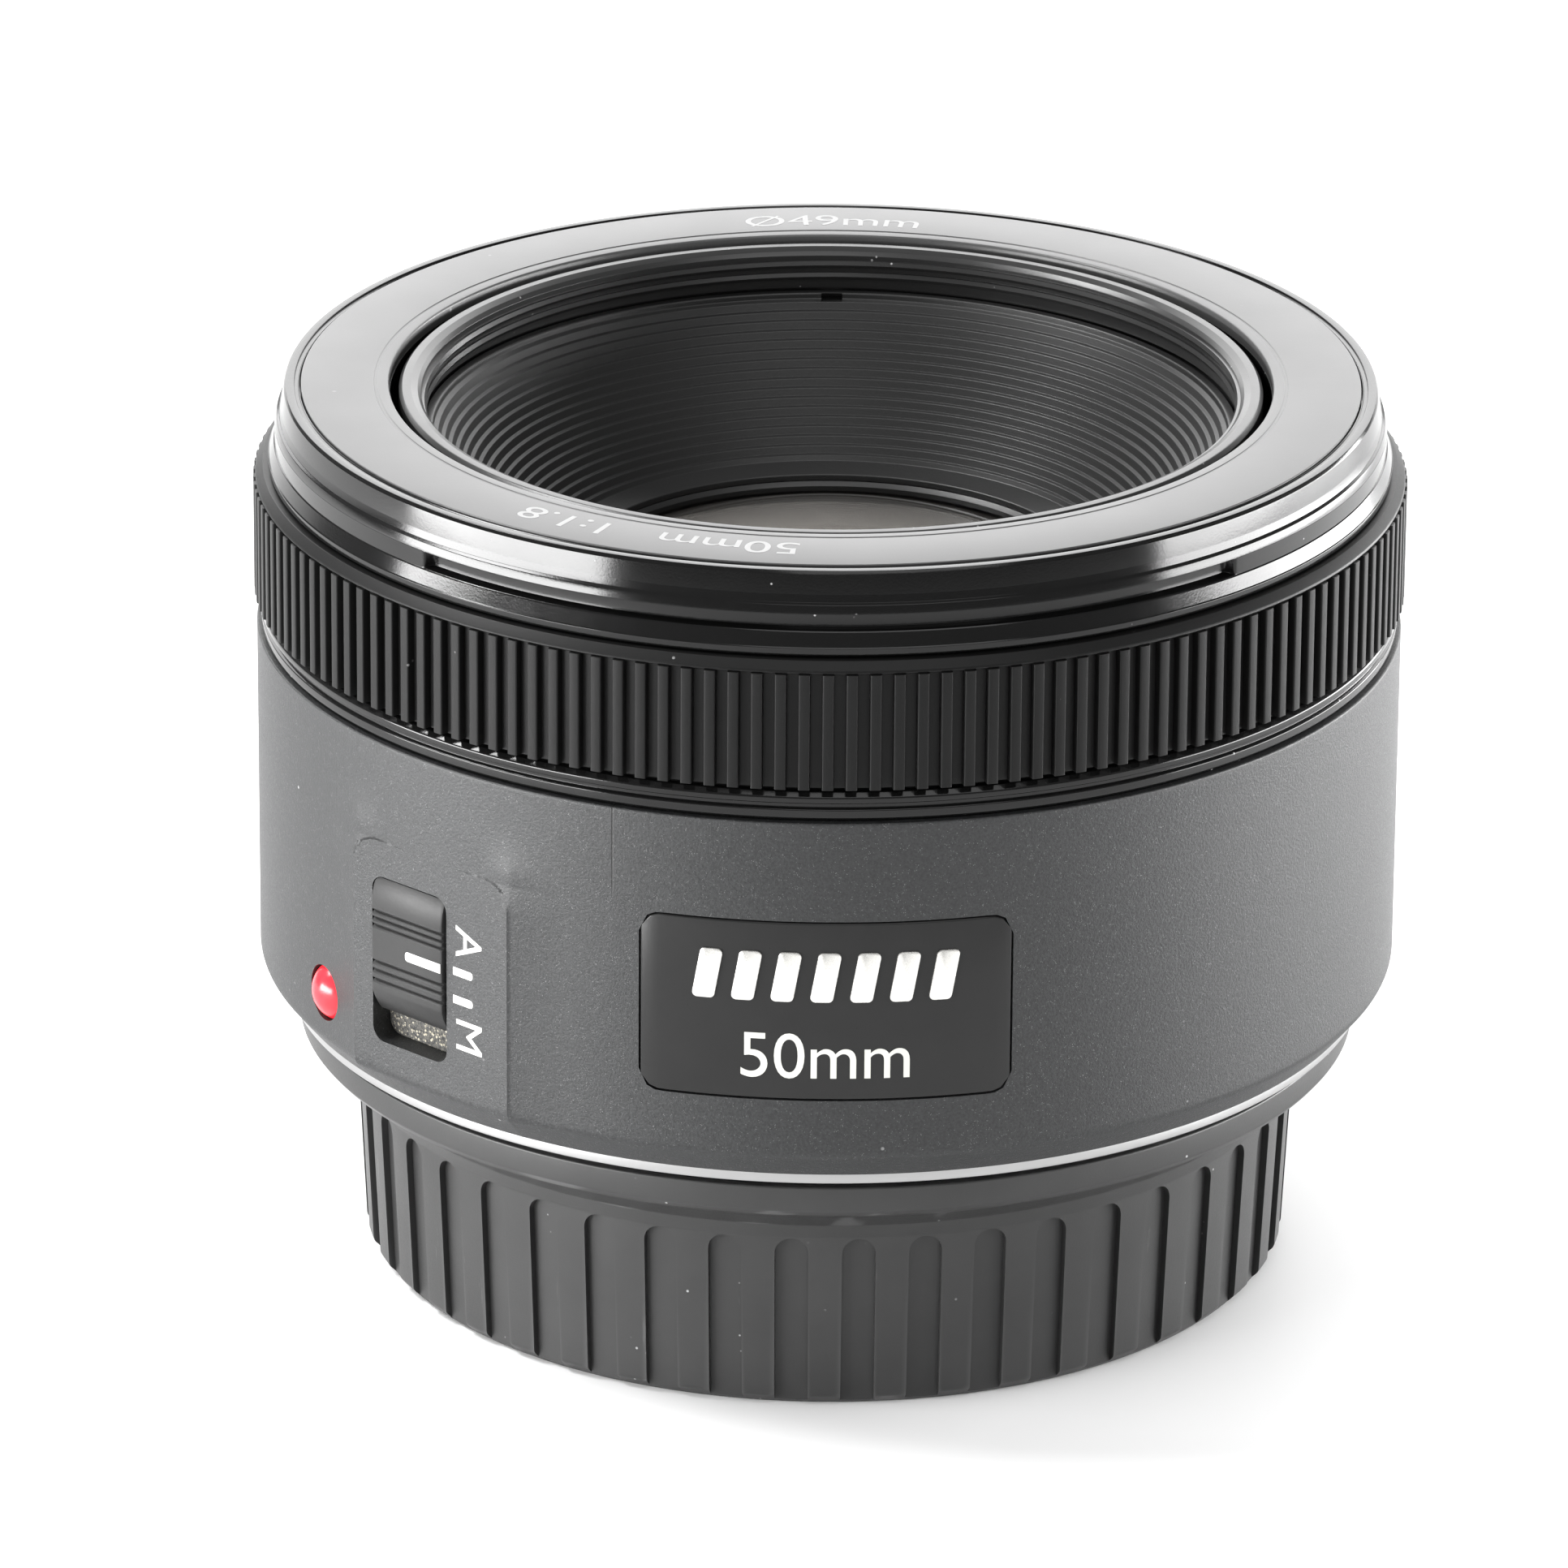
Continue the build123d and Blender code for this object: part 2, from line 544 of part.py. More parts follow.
def main_board():
    board = ring(MOUNT_SCREW_R + BOSS_R + 0.7, BOARD_BORE_R, BOARD_Z, BOARD_Z + BOARD_THICK)
    board -= pins(BOSS_R + LOOSE, MOUNT_SCREW_R, MOUNT_SCREW_ANGLES, BOARD_Z - 1, BOARD_Z + BOARD_THICK + 1)
    return board - motor_place(BOARD_Z - 1) * Cylinder(MOTOR_R + 0.5, BOARD_THICK + 2, align=LOW)


def board_chips():
    return [polar(CHIP_R, angle, BOARD_Z + BOARD_THICK) * Box(size, size, CHIP_THICK, align=LOW)
            for angle, size in CHIPS]


def gear_place(z):
    return polar(IDLER_AXIS_R, GEAR_ANGLE, z)


def gear_plate():
    top = PLATE_Z + PLATE_THICK
    plate = ring(MOUNT_SCREW_R + BOSS_R + 0.9, PLATE_BORE_R, PLATE_Z, top)
    for angle in PLATE_PAD_ANGLES:
        plate += arc_ring(CAM_R - RUN, CAM_BORE_R + 1.5 * RUN, top - SEAT, CAM_BASE_Z - 2 * RUN, angle, 12)
    plate -= pins(SMALL_SHANK_R + SEAT, MOUNT_SCREW_R, MOUNT_SCREW_ANGLES, PLATE_Z, top)
    plate -= gear_place(PLATE_Z) * Cylinder(SHAFT_R, PLATE_THICK, align=LOW)
    return plate - motor_place(PLATE_Z) * Cylinder(MOTOR_NOSE_R + SEAT, PLATE_THICK, align=LOW)


def plate_screws():
    top = PLATE_Z + PLATE_THICK
    heads = pins(SMALL_HEAD_R, MOUNT_SCREW_R, MOUNT_SCREW_ANGLES, top, top + 0.5)
    shanks = pins(SMALL_SHANK_R, MOUNT_SCREW_R, MOUNT_SCREW_ANGLES, PLATE_Z - 0.9, top)
    return [h + s for h, s in zip(heads, shanks)]


def motor_can(radius, height):
    return fillet(Cylinder(radius, height, align=LOW).edges(), 0.4)


def focus_motor():
    nose = motor_place(PLATE_Z - SEAT) * Cylinder(MOTOR_NOSE_R, PLATE_THICK, align=LOW)
    return motor_place(PLATE_Z - MOTOR_HEIGHT) * motor_can(MOTOR_R, MOTOR_HEIGHT) + nose


def axis_point(place):
    return Vector(place.position.X, place.position.Y, 0)


def heading(start, end):
    """The direction from one axis to another, in degrees from +X."""
    return (end - start).get_signed_angle(Vector(1, 0, 0), Vector(0, 0, -1))


def motor_pinion():
    gear, motor = axis_point(gear_place(0)), axis_point(motor_place(0))
    wheel = Rot(0, 0, 180 / PINION_TEETH) * spur(WHEEL_MODULE, PINION_TEETH, WHEEL_FACE)
    return Pos(motor.X, motor.Y, GEAR_Z) * Rot(0, 0, heading(motor, gear)) * wheel


def reduction_gear():
    gear, motor = axis_point(gear_place(0)), axis_point(motor_place(0))
    wheel = Rot(0, 0, heading(gear, motor)) * spur(WHEEL_MODULE, WHEEL_TEETH, WHEEL_FACE)
    idler = spur(RING_MODULE, IDLER_TEETH, CAM_BASE_Z + GEAR_FACE - GEAR_Z - WHEEL_FACE + 4 * RUN)
    both = wheel + Pos(0, 0, WHEEL_FACE - SEAT) * Rot(0, 0, GEAR_ANGLE) * idler
    return Pos(gear.X, gear.Y, GEAR_Z) * (both - Cylinder(SHAFT_R + SEAT, 20))


def gear_shaft():
    top_z = CAM_BASE_Z + GEAR_FACE + 1
    return gear_place(PLATE_Z) * Cylinder(SHAFT_R, top_z - PLATE_Z, align=LOW)


# focusing

def follower_pins():
    pin = Rot(0, 90, 0) * Cylinder(FOLLOWER_R, CAM_R - 2 * RUN - INNER_BORE_R, align=LOW)
    return [Rot(0, 0, a) * Pos(INNER_BORE_R, 0, FOLLOWER_Z) * pin for a in FOLLOWER_ANGLES]


def slot_cut(angle, z, length, tilt):
    """A short straight slot for a follower through the wall, its ends round, turned from level."""
    sketch = SlotCenterToCenter(length, 2 * (FOLLOWER_R + RUN))
    place = Rot(0, 0, angle) * Pos(INNER_BORE_R - 2, 0, z) * Rot(0, 90, 0) * Rot(0, 0, 90 + tilt)
    return place * extrude(sketch, CAM_R - INNER_BORE_R + 4)


def guide_barrel():
    outside = GUIDE_BORE_R + GUIDE_WALL
    rim_r = SLEEVE_BORE_R - SEAT
    top = FLANGE_Z + FLANGE_THICK
    body = turned((GUIDE_BORE_R, GUIDE_BASE_Z), (outside, GUIDE_BASE_Z), (outside, FLANGE_Z),
                  (rim_r, FLANGE_Z), (rim_r, top), (GUIDE_BORE_R, top))
    for angle in FOLLOWER_ANGLES:
        body -= slot_cut(angle, FOLLOWER_Z + FOCUS_TRAVEL / 2, FOCUS_TRAVEL, 90)
    return body - pins(SMALL_SHANK_R + SEAT, GUIDE_SCREW_R, GUIDE_SCREW_ANGLES, FLANGE_Z, top)


def cam_ring():
    steps = 20
    rise = FOCUS_TRAVEL / steps
    run = radians(CAM_TURN / steps) * (CAM_BORE_R + CAM_R) / 2
    body = ring(CAM_R, CAM_BORE_R, CAM_BASE_Z, FLANGE_Z - LOOSE)
    cutters = []
    for angle in FOLLOWER_ANGLES:
        for middle in (i + 0.5 for i in range(steps)):
            cutters.append(slot_cut(angle - CAM_TURN * middle / steps, FOLLOWER_Z + rise * middle,
                                    sqrt(rise * rise + run * run), -degrees(rise / run)))
    body -= cutters
    top = CAM_BASE_Z + GEAR_FACE
    teeth = ring(CAM_BORE_R + 2 * RUN, RING_PITCH_R - 0.5 * RING_MODULE, CAM_BASE_Z, top)
    teeth &= wedge(2 * CAM_R, CAM_BASE_Z, top, GEAR_ANGLE - CAM_TURN / 2, CAM_TURN + 24)
    gaps = spur(RING_MODULE, RING_TEETH, GEAR_FACE, BACKLASH, 1.1, 0.7)
    return body + (teeth - Rot(0, 0, GEAR_ANGLE) * Pos(0, 0, CAM_BASE_Z) * gaps)


def grip_ribs(root_r, height):
    half = 180 / RIB_COUNT * RIB_SHARE
    inner = root_r - 0.1
    outline = []
    for rib in range(RIB_COUNT):
        middle = 360 * rib / RIB_COUNT
        for radius, angle in ((inner, middle - half), (GRIP_R, middle - half),
                              (GRIP_R, middle + half), (inner, middle + half)):
            outline.append((radius * cos(radians(angle)), radius * sin(radians(angle))))
    star = extrude(Pos(0, 0, GRIP_BASE_Z) * make_face(Polyline(*outline, close=True)), height)
    return star - disc(root_r - 0.2, GRIP_BASE_Z - 1, GRIP_TOP_Z)


def focus_ring():
    root_r = GRIP_R - RIB_DEPTH
    land_r, relief_r = SLEEVE_R + RUN, SLEEVE_R + RUN + 0.7
    land, slope = 2.0, 0.7
    rib_top = GRIP_TOP_Z - 0.76
    body = turned((land_r, GRIP_BASE_Z), (root_r, GRIP_BASE_Z), (root_r, rib_top),
                  (GRIP_R - 0.1, rib_top + 0.16), (root_r, GRIP_TOP_Z), (land_r, GRIP_TOP_Z),
                  (land_r, GRIP_TOP_Z - land),
                  (relief_r, GRIP_TOP_Z - land - slope), (relief_r, GRIP_BASE_Z + land + slope),
                  (land_r, GRIP_BASE_Z + land))
    return body + grip_ribs(root_r, rib_top - GRIP_BASE_Z)


def encoder_comb():
    inner, outer = SLEEVE_R + 0.5, SLEEVE_R + 1.4
    base_z = BARREL_TOP_Z + 0.4
    comb = ring(outer, inner, base_z, GRIP_BASE_Z)
    count = 36
    for tooth in range(count):
        comb -= polar((inner + outer) / 2, 360 * tooth / count, base_z) * Box(3, 2.8, 1.2, align=LOW)
    return comb


def ring_sensor():
    return sensor_block(0)


# optical block

def inner_barrel():
    shelf_z = MOUNT_FACE_Z + INNER_SHELF
    shelf_r = INNER_BORE_R - SHELF_WIDTH
    base_z = MOUNT_FACE_Z + INNER_BASE
    lip_z = baffle_seat_z()
    lip_r, lip_base = FILTER_R - 0.6, lip_z - 0.6
    groove_r = FILTER_R + FILTER_GROOVE
    body = turned((INNER_BORE_R, base_z), (INNER_R, base_z), (INNER_R, INNER_TOP_Z - 0.25),
                  (INNER_R - 0.25, INNER_TOP_Z), (FILTER_R + FILTER_LEAD, INNER_TOP_Z),
                  (FILTER_R, INNER_TOP_Z - FILTER_LEAD), (FILTER_R, FILTER_BASE_Z),
                  (groove_r, FILTER_BASE_Z), (groove_r, lip_z), (lip_r, lip_z), (lip_r, lip_base),
                  (INNER_BORE_R, lip_base), (INNER_BORE_R, CELL_Z), (shelf_r, CELL_Z),
                  (shelf_r, shelf_z), (INNER_BORE_R, shelf_z))
    body -= pins(SMALL_SHANK_R + 0.15, INNER_BORE_R - 1.2, CELL_SCREW_ANGLES, shelf_z, CELL_Z)
    hole = Rot(0, 90, 0) * Cylinder(FOLLOWER_R, INNER_WALL + 4, align=LOW)
    for angle in FOLLOWER_ANGLES:
        body -= Rot(0, 0, angle) * Pos(INNER_BORE_R - 2, 0, FOLLOWER_Z) * hole
    return body


def cell_screws():
    top = CELL_Z + 1
    heads = pins(1.0, INNER_BORE_R - 1.4, CELL_SCREW_ANGLES, top, top + 0.6)
    shanks = pins(SMALL_SHANK_R + SEAT, INNER_BORE_R - 1.2, CELL_SCREW_ANGLES, CELL_Z - 0.9, top)
    return [h + s for h, s in zip(heads, shanks)]


def baffle_seat_z():
    return FILTER_BASE_Z - 1.3


def front_baffle():
    """A stepped cone from the filter thread down to the front element's retainer."""
    seat_z, lip_z = baffle_seat_z() + SEAT, FILTER_BASE_Z - RUN
    top_z, foot_z = FILTER_BASE_Z - 0.6, MOUNT_FACE_Z + BAFFLE_FOOT
    mouth_z = MOUNT_FACE_Z + BAFFLE_SEAT
    run, fall = (BAFFLE_TOP_R - BAFFLE_FOOT_R) / BAFFLE_STEPS, (top_z - foot_z) / BAFFLE_STEPS
    flange_r, top_r = FILTER_R - SEAT, BAFFLE_TOP_R + 0.2
    outline = [(flange_r, seat_z), (flange_r, lip_z), (BAFFLE_TOP_R + LOOSE, lip_z),
               (BAFFLE_TOP_R + LOOSE, top_z)]
    for step in range(BAFFLE_STEPS):
        outline.append((BAFFLE_TOP_R - run * step, top_z - fall * step))
        outline.append((BAFFLE_TOP_R - run * (step + STEP_SHARE), top_z - fall * (step + 1)))
    outline += [(BAFFLE_FOOT_R, foot_z), (BAFFLE_MOUTH_R + 0.2, foot_z - 0.3), (BAFFLE_MOUTH_R, foot_z - 0.6),
                (BAFFLE_MOUTH_R, mouth_z), (BAFFLE_FOOT_R + 0.9, mouth_z), (top_r, seat_z - 0.75),
                (top_r, seat_z)]
    return turned(*outline)


def front_retainer():
    mouth_z = MOUNT_FACE_Z + BAFFLE_SEAT
    return ring(RETAINER_R, BAFFLE_MOUTH_R - 0.2, mouth_z - 0.65, mouth_z)


def optics():
    """Each element: radius, then middle height above the mount's face and bend of the front and the back."""
    elements = {
        "front_element": (15.6, 29.5, 38, 25.9, 150, None, None),
        "second_element": (12.2, 25.6, 21, 21.5, 45, None, None),
        "third_element": (11.4, 20.5, 90, 19.1, 15, None, 9.6),
        "fourth_element": (10.8, 7.8, -15, 6.6, 80, 9.4, None),
        "fifth_element": (10.8, 6.6, 80, 1.4, -24, None, None),
        "rear_element": (11.2, 1.0, 90, -2.2, -45, None, None),
    }
    return {name: glass(radius, MOUNT_FACE_Z + front, bend, MOUNT_FACE_Z + back, back_bend, clear, back_clear)
            for name, (radius, front, bend, back, back_bend, clear, back_clear) in elements.items()}


def stacked(*corners):
    """A turned piece whose heights are given from the mount's face."""
    return turned(*((radius, MOUNT_FACE_Z + z) for radius, z in corners))


def front_cell():
    rim_r = INNER_BORE_R - SEAT
    shelf, top = INNER_SHELF + SHELF_THICK, INNER_SHELF + SHELF_THICK + 1
    seat = BAFFLE_SEAT - 0.65
    body = stacked((9.9, 14.85), (13.4, 14.85), (13.4, shelf), (rim_r, shelf), (rim_r, top), (17.2, top),
                   (17.2, seat), (15.65, seat), (15.65, 25.05), (12.25, 25.05), (12.25, 19.8),
                   (11.45, 19.8), (11.45, 15.6), (9.9, 15.6))
    return body - pins(SMALL_SHANK_R + RUN, INNER_BORE_R - 1.2, CELL_SCREW_ANGLES, CELL_Z - 1, CELL_Z + 2)


def element_spacer():
    return stacked((11.2, 22.45), (12.2, 22.45), (12.2, 25.0), (11.2, 25.0))


def rear_cell():
    top = HOUSING_Z - MOUNT_FACE_Z
    return stacked((11.25, -2.8), (12.9, -2.8), (12.9, top - 1.7), (HOUSING_R, top - 1.7), (HOUSING_R, top),
                   (10.85, top), (10.85, 3.6), (10.2, 3.6), (10.2, 0.55), (11.25, 0.55))


def rear_retainer():
    return stacked((10.3, -2.7), (11.2, -2.7), (11.2, -1.1), (10.3, -1.1))


# iris

def blade_angle(index):
    return BLADE_START + 360 * index / BLADE_COUNT


def diaphragm_base():
    floor_top = BLADE_Z - SEAT
    wall_r = IRIS_RING_R + 1.5 * RUN
    body = ring(HOUSING_R, IRIS_R, HOUSING_Z, floor_top) + ring(HOUSING_R, wall_r, HOUSING_Z, IRIS_TOP_Z)
    body -= arc_ring(HOUSING_R + 1, IRIS_RING_R - 0.5, IRIS_RING_Z - 2 * RUN, IRIS_TOP_Z + 1,
                     IRIS_MOTOR_ANGLE, 44)
    angles = [blade_angle(i) for i in range(BLADE_COUNT)]
    return body - pins(PIVOT_PIN_R + SEAT, PIVOT_R, angles, HOUSING_Z - 1, floor_top)


def diaphragm_cover():
    top = IRIS_TOP_Z + HOUSING_FLOOR
    tail = polar(IRIS_AXIS_R - LOOSE, IRIS_MOTOR_ANGLE, IRIS_TOP_Z) * Cylinder(
        IRIS_MOTOR_R + 0.5, HOUSING_FLOOR, align=LOW)
    cover = ring(HOUSING_R, IRIS_R, IRIS_TOP_Z, top) + (tail - disc(IRIS_R + 1, IRIS_TOP_Z, top))
    return cover - iris_motor_place(IRIS_TOP_Z) * Cylinder(MOTOR_NOSE_R + SEAT, HOUSING_FLOOR, align=LOW)


def iris_motor_place(z):
    return polar(IRIS_AXIS_R, IRIS_MOTOR_ANGLE, z)


def aperture_motor():
    base = IRIS_TOP_Z + HOUSING_FLOOR
    nose = iris_motor_place(base - HOUSING_FLOOR + RUN) * Cylinder(MOTOR_NOSE_R, HOUSING_FLOOR, align=LOW)
    return iris_motor_place(base) * motor_can(IRIS_MOTOR_R, IRIS_MOTOR_HEIGHT) + nose


def iris_pinion():
    wheel = spur(WHEEL_MODULE, PINION_TEETH, IRIS_RING_THICK)
    return iris_motor_place(IRIS_RING_Z) * Rot(0, 0, 180 + 180 / PINION_TEETH) * wheel


def drive_point(share):
    """Where a blade's drive pin is when the blade has made a share of its turn, pivot on +X."""
    turn = -radians(BLADE_TURN) * share
    return PIVOT_R + DRIVE_ARM * cos(turn), DRIVE_ARM * sin(turn)


def iris_ring():
    top = IRIS_RING_Z + IRIS_RING_THICK
    teeth = spur(WHEEL_MODULE, IRIS_TEETH, IRIS_RING_THICK)
    gear = Rot(0, 0, IRIS_MOTOR_ANGLE) * Pos(0, 0, IRIS_RING_Z) * teeth
    gear &= wedge(HOUSING_R + 2, IRIS_RING_Z, top, IRIS_MOTOR_ANGLE, 28)
    body = ring(IRIS_RING_R, BLADE_OUTER_R + 0.6, IRIS_RING_Z, top)
    body += gear - disc(IRIS_RING_R - 1, IRIS_RING_Z, top)
    slots = []
    steps = 12
    for index in range(BLADE_COUNT):
        for share in (step / steps for step in range(steps + 1)):
            x, y = drive_point(share)
            hole = Pos(x, y, IRIS_RING_Z) * Cylinder(PIVOT_PIN_R + 0.08, IRIS_RING_THICK, align=LOW)
            slots.append(Rot(0, 0, blade_angle(index) + IRIS_TURN * share) * hole)
    return body - slots


def aperture_blade(index):
    level = BLADE_Z + BLADE_PITCH * index
    band = arc_ring(BLADE_OUTER_R, BLADE_INNER_R, level, level + BLADE_THICK, -BLADE_ARC / 2, BLADE_ARC)
    neck = Pos(PIVOT_R - 1, 0, level) * Box(3.4, 2.0, BLADE_THICK, align=LOW)
    tab = Pos(PIVOT_R + DRIVE_ARM / 2, 0, level) * Box(DRIVE_ARM, 1.7, BLADE_THICK, align=LOW)
    ends = [Pos(x, 0, level) * Cylinder(0.85, BLADE_THICK, align=LOW) for x in (PIVOT_R, PIVOT_R + DRIVE_ARM)]
    pivot_z, drive_top = HOUSING_Z + RUN, IRIS_RING_Z + IRIS_RING_THICK - SEAT
    pivot = Pos(PIVOT_R, 0, pivot_z) * Cylinder(PIVOT_PIN_R, level - pivot_z + SEAT, align=LOW)
    drive = Pos(PIVOT_R + DRIVE_ARM, 0, level) * Cylinder(PIVOT_PIN_R, drive_top - level, align=LOW)
    return Rot(0, 0, blade_angle(index)) * (band + neck + tab + ends + pivot + drive)


# switch

WINDOW_MIDDLE = (WINDOW_LOW + WINDOW_HIGH) / 2
WINDOW_BACK = PANEL_DISTANCE - WINDOW_WALL
STEM_Z = WINDOW_TOP_Z - RUN - KNOB_LENGTH / 2 - STEM_HEIGHT / 2


def mode_switch():
    knob_top = WINDOW_TOP_Z - RUN
    base = knob_top - KNOB_LENGTH
    face = PANEL_DISTANCE + KNOB_PROUD
    knob = panel_block(WINDOW_LOW + RUN, WINDOW_HIGH - RUN, base, knob_top, WINDOW_BACK + RUN, face,
                       WINDOW_CORNER - RUN)
    pitch = 0.75
    for first in (base + 1.2, knob_top - 3.4):
        for z in (first + pitch * groove for groove in range(3)):
            knob -= panel_block(WINDOW_LOW - 1, WINDOW_HIGH + 1, z - KNOB_GROOVE / 2, z + KNOB_GROOVE / 2,
                                face - KNOB_GROOVE, face + 1)
    stem = panel_block(WINDOW_MIDDLE - STEM_HALF, WINDOW_MIDDLE + STEM_HALF, STEM_Z, STEM_Z + STEM_HEIGHT,
                       WINDOW_BACK - 0.7, WINDOW_BACK + 2 * RUN)
    plate = panel_block(WINDOW_MIDDLE - RETAINER_HALF, WINDOW_MIDDLE + RETAINER_HALF, STEM_Z - 1.9,
                        STEM_Z + STEM_HEIGHT + 1.7, WINDOW_BACK - 1.3, WINDOW_BACK - 0.6)
    return knob + stem + plate


def switch_felt():
    sheet = panel_block(WINDOW_LOW - 1.2, WINDOW_HIGH + 1.2, WINDOW_BASE_Z - 1, WINDOW_TOP_Z + 1,
                        WINDOW_BACK - FELT_THICK, WINDOW_BACK)
    half = STEM_HALF + 2 * RUN
    return sheet - panel_block(WINDOW_MIDDLE - half, WINDOW_MIDDLE + half, STEM_Z - SWITCH_TRAVEL - RUN,
                               STEM_Z + STEM_HEIGHT + 2 * RUN, WINDOW_BACK - 1, WINDOW_BACK + 1)


def switch_board():
    half = RETAINER_HALF + LOOSE
    return panel_block(WINDOW_MIDDLE - half, WINDOW_MIDDLE + half, PLATE_Z + PLATE_THICK + LOOSE,
                       WINDOW_TOP_Z + 0.1, WINDOW_BACK - 2.5, WINDOW_BACK - 1.6)


# rear cap

def flute_cutter():
    """A shallow groove with an arched top, leaning with the cap's wall."""
    arch_z = CAP_SHOULDER_Z - FLUTE_WIDTH / 2
    flute = Pos(0, 0, -1) * Box(2 * FLUTE_DEPTH, FLUTE_WIDTH, arch_z + 1, align=LOW)
    arch = Pos(0, 0, arch_z) * Rot(0, 90, 0) * Cylinder(FLUTE_WIDTH / 2, 2 * FLUTE_DEPTH)
    lean = degrees(CAP_DRAFT / CAP_SHOULDER_Z)
    return Pos(CAP_R - CAP_DRAFT, 0, 0) * Rot(0, lean, 0) * (flute + arch)


def rear_cap():
    top_z = MOUNT_FACE_Z - RUN
    lip_z = MOUNT_FACE_Z + CAP_LIP
    bore, seat_r = LUG_R + 0.4, STEP_R + LOOSE
    foot_r = CAP_R - CAP_DRAFT
    neck_r = CAP_R + (CAP_RIM_R - CAP_R) * 0.37
    body = turned((0, 0), (foot_r - 0.8, 0), (foot_r, 0.8), (CAP_R, CAP_SHOULDER_Z),
                  (CAP_R + 0.35, CAP_SHOULDER_Z + 0.8), (neck_r, CAP_RIM_Z - 1.5),
                  (CAP_RIM_R - 0.5, CAP_RIM_Z - 0.5), (CAP_RIM_R, CAP_RIM_Z), (CAP_RIM_R, lip_z),
                  (seat_r, lip_z), (seat_r, top_z), (bore, top_z), (bore, CAP_FLOOR), (0, CAP_FLOOR))
    body -= [Rot(0, 0, FLUTE_PHASE + 360 * i / FLUTE_COUNT) * flute_cutter() for i in range(FLUTE_COUNT)]
    lug_z = MOUNT_FACE_Z - SPIGOT_LENGTH + LUG_THICK + 0.5
    for lug in range(LUG_COUNT):
        angle = (lug + 0.5) * 360 / LUG_COUNT
        body += arc_ring(bore + 0.3, SPIGOT_R + LOOSE, lug_z, lug_z + LUG_THICK, angle, CAP_LUG_ARC)
    return body


# write every piece

PIECES = [rear_barrel, index_dot, trim_ring, fixed_sleeve, guide_screws, front_ring, name_ring, mount_ring,
          mount_screws, contact_block, contact_pins, rear_baffle, contact_flex, main_board, board_chips,
          gear_plate, plate_screws, focus_motor, motor_pinion, reduction_gear, gear_shaft, follower_pins,
          guide_barrel, cam_ring, focus_ring, encoder_comb, ring_sensor, inner_barrel, cell_screws,
          front_baffle, front_retainer, front_cell, element_spacer, rear_cell, rear_retainer,
          diaphragm_base, diaphragm_cover, aperture_motor, iris_pinion, iris_ring, mode_switch,
          switch_felt, switch_board, rear_cap]


def write(shape, name):
    solids = shape if isinstance(shape, list) else [shape]
    export_step(Compound(children=[s for piece in solids for s in piece.solids()]), f"parts/{name}.step")


os.makedirs("parts", exist_ok=True)
for make in PIECES:
    write(make(), make.__name__)
write(badge_block(0, BADGE_THICK), "badge_plate")
for name, element in optics().items():
    write(element, name)
for number in range(BLADE_COUNT):
    write(aperture_blade(number), f"aperture_blade_{number + 1}")
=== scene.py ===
import json
from math import cos, degrees, pi, radians, sin, sqrt, tan

import bmesh
import bpy
from mathutils import Matrix, Vector


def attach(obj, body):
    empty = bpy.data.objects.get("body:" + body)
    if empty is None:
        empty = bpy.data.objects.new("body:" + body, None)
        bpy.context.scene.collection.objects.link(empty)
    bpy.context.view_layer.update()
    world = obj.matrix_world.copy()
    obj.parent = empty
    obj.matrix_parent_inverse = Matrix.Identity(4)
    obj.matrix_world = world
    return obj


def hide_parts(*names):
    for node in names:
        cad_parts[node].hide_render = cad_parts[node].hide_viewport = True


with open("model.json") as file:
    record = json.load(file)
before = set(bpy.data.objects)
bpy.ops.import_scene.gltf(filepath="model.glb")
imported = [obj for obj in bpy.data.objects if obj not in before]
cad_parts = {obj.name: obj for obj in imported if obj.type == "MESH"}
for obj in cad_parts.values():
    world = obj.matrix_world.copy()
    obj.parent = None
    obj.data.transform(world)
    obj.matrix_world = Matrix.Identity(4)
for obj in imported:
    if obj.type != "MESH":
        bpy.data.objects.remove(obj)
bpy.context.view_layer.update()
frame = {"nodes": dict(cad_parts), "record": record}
mm = 0.001

print("stage: camera")
cameraView = {"place": (0, -645.763, 285.578), "aim": (-2.6417, 0, 28.553), "roll": 0.4095,
              "lens": 263.1, "sensor": 36.0}


def makeCamera():
    data = bpy.data.cameras.new("viewCamera")
    data.lens = cameraView["lens"]
    data.sensor_width = cameraView["sensor"]
    data.clip_start, data.clip_end = 0.01, 20
    camera = bpy.data.objects.new("viewCamera", data)
    bpy.context.scene.collection.objects.link(camera)
    place = Vector(cameraView["place"]) * mm
    look = Vector(cameraView["aim"]) * mm - place
    turn = look.to_track_quat("-Z", "Y").to_matrix().to_4x4()
    roll = Matrix.Rotation(radians(cameraView["roll"]), 4, "Z")
    camera.matrix_world = Matrix.Translation(place) @ turn @ roll
    bpy.context.scene.camera = camera
    bpy.context.scene.view_settings.view_transform = "Standard"


makeCamera()


# shader and geometry node helpers

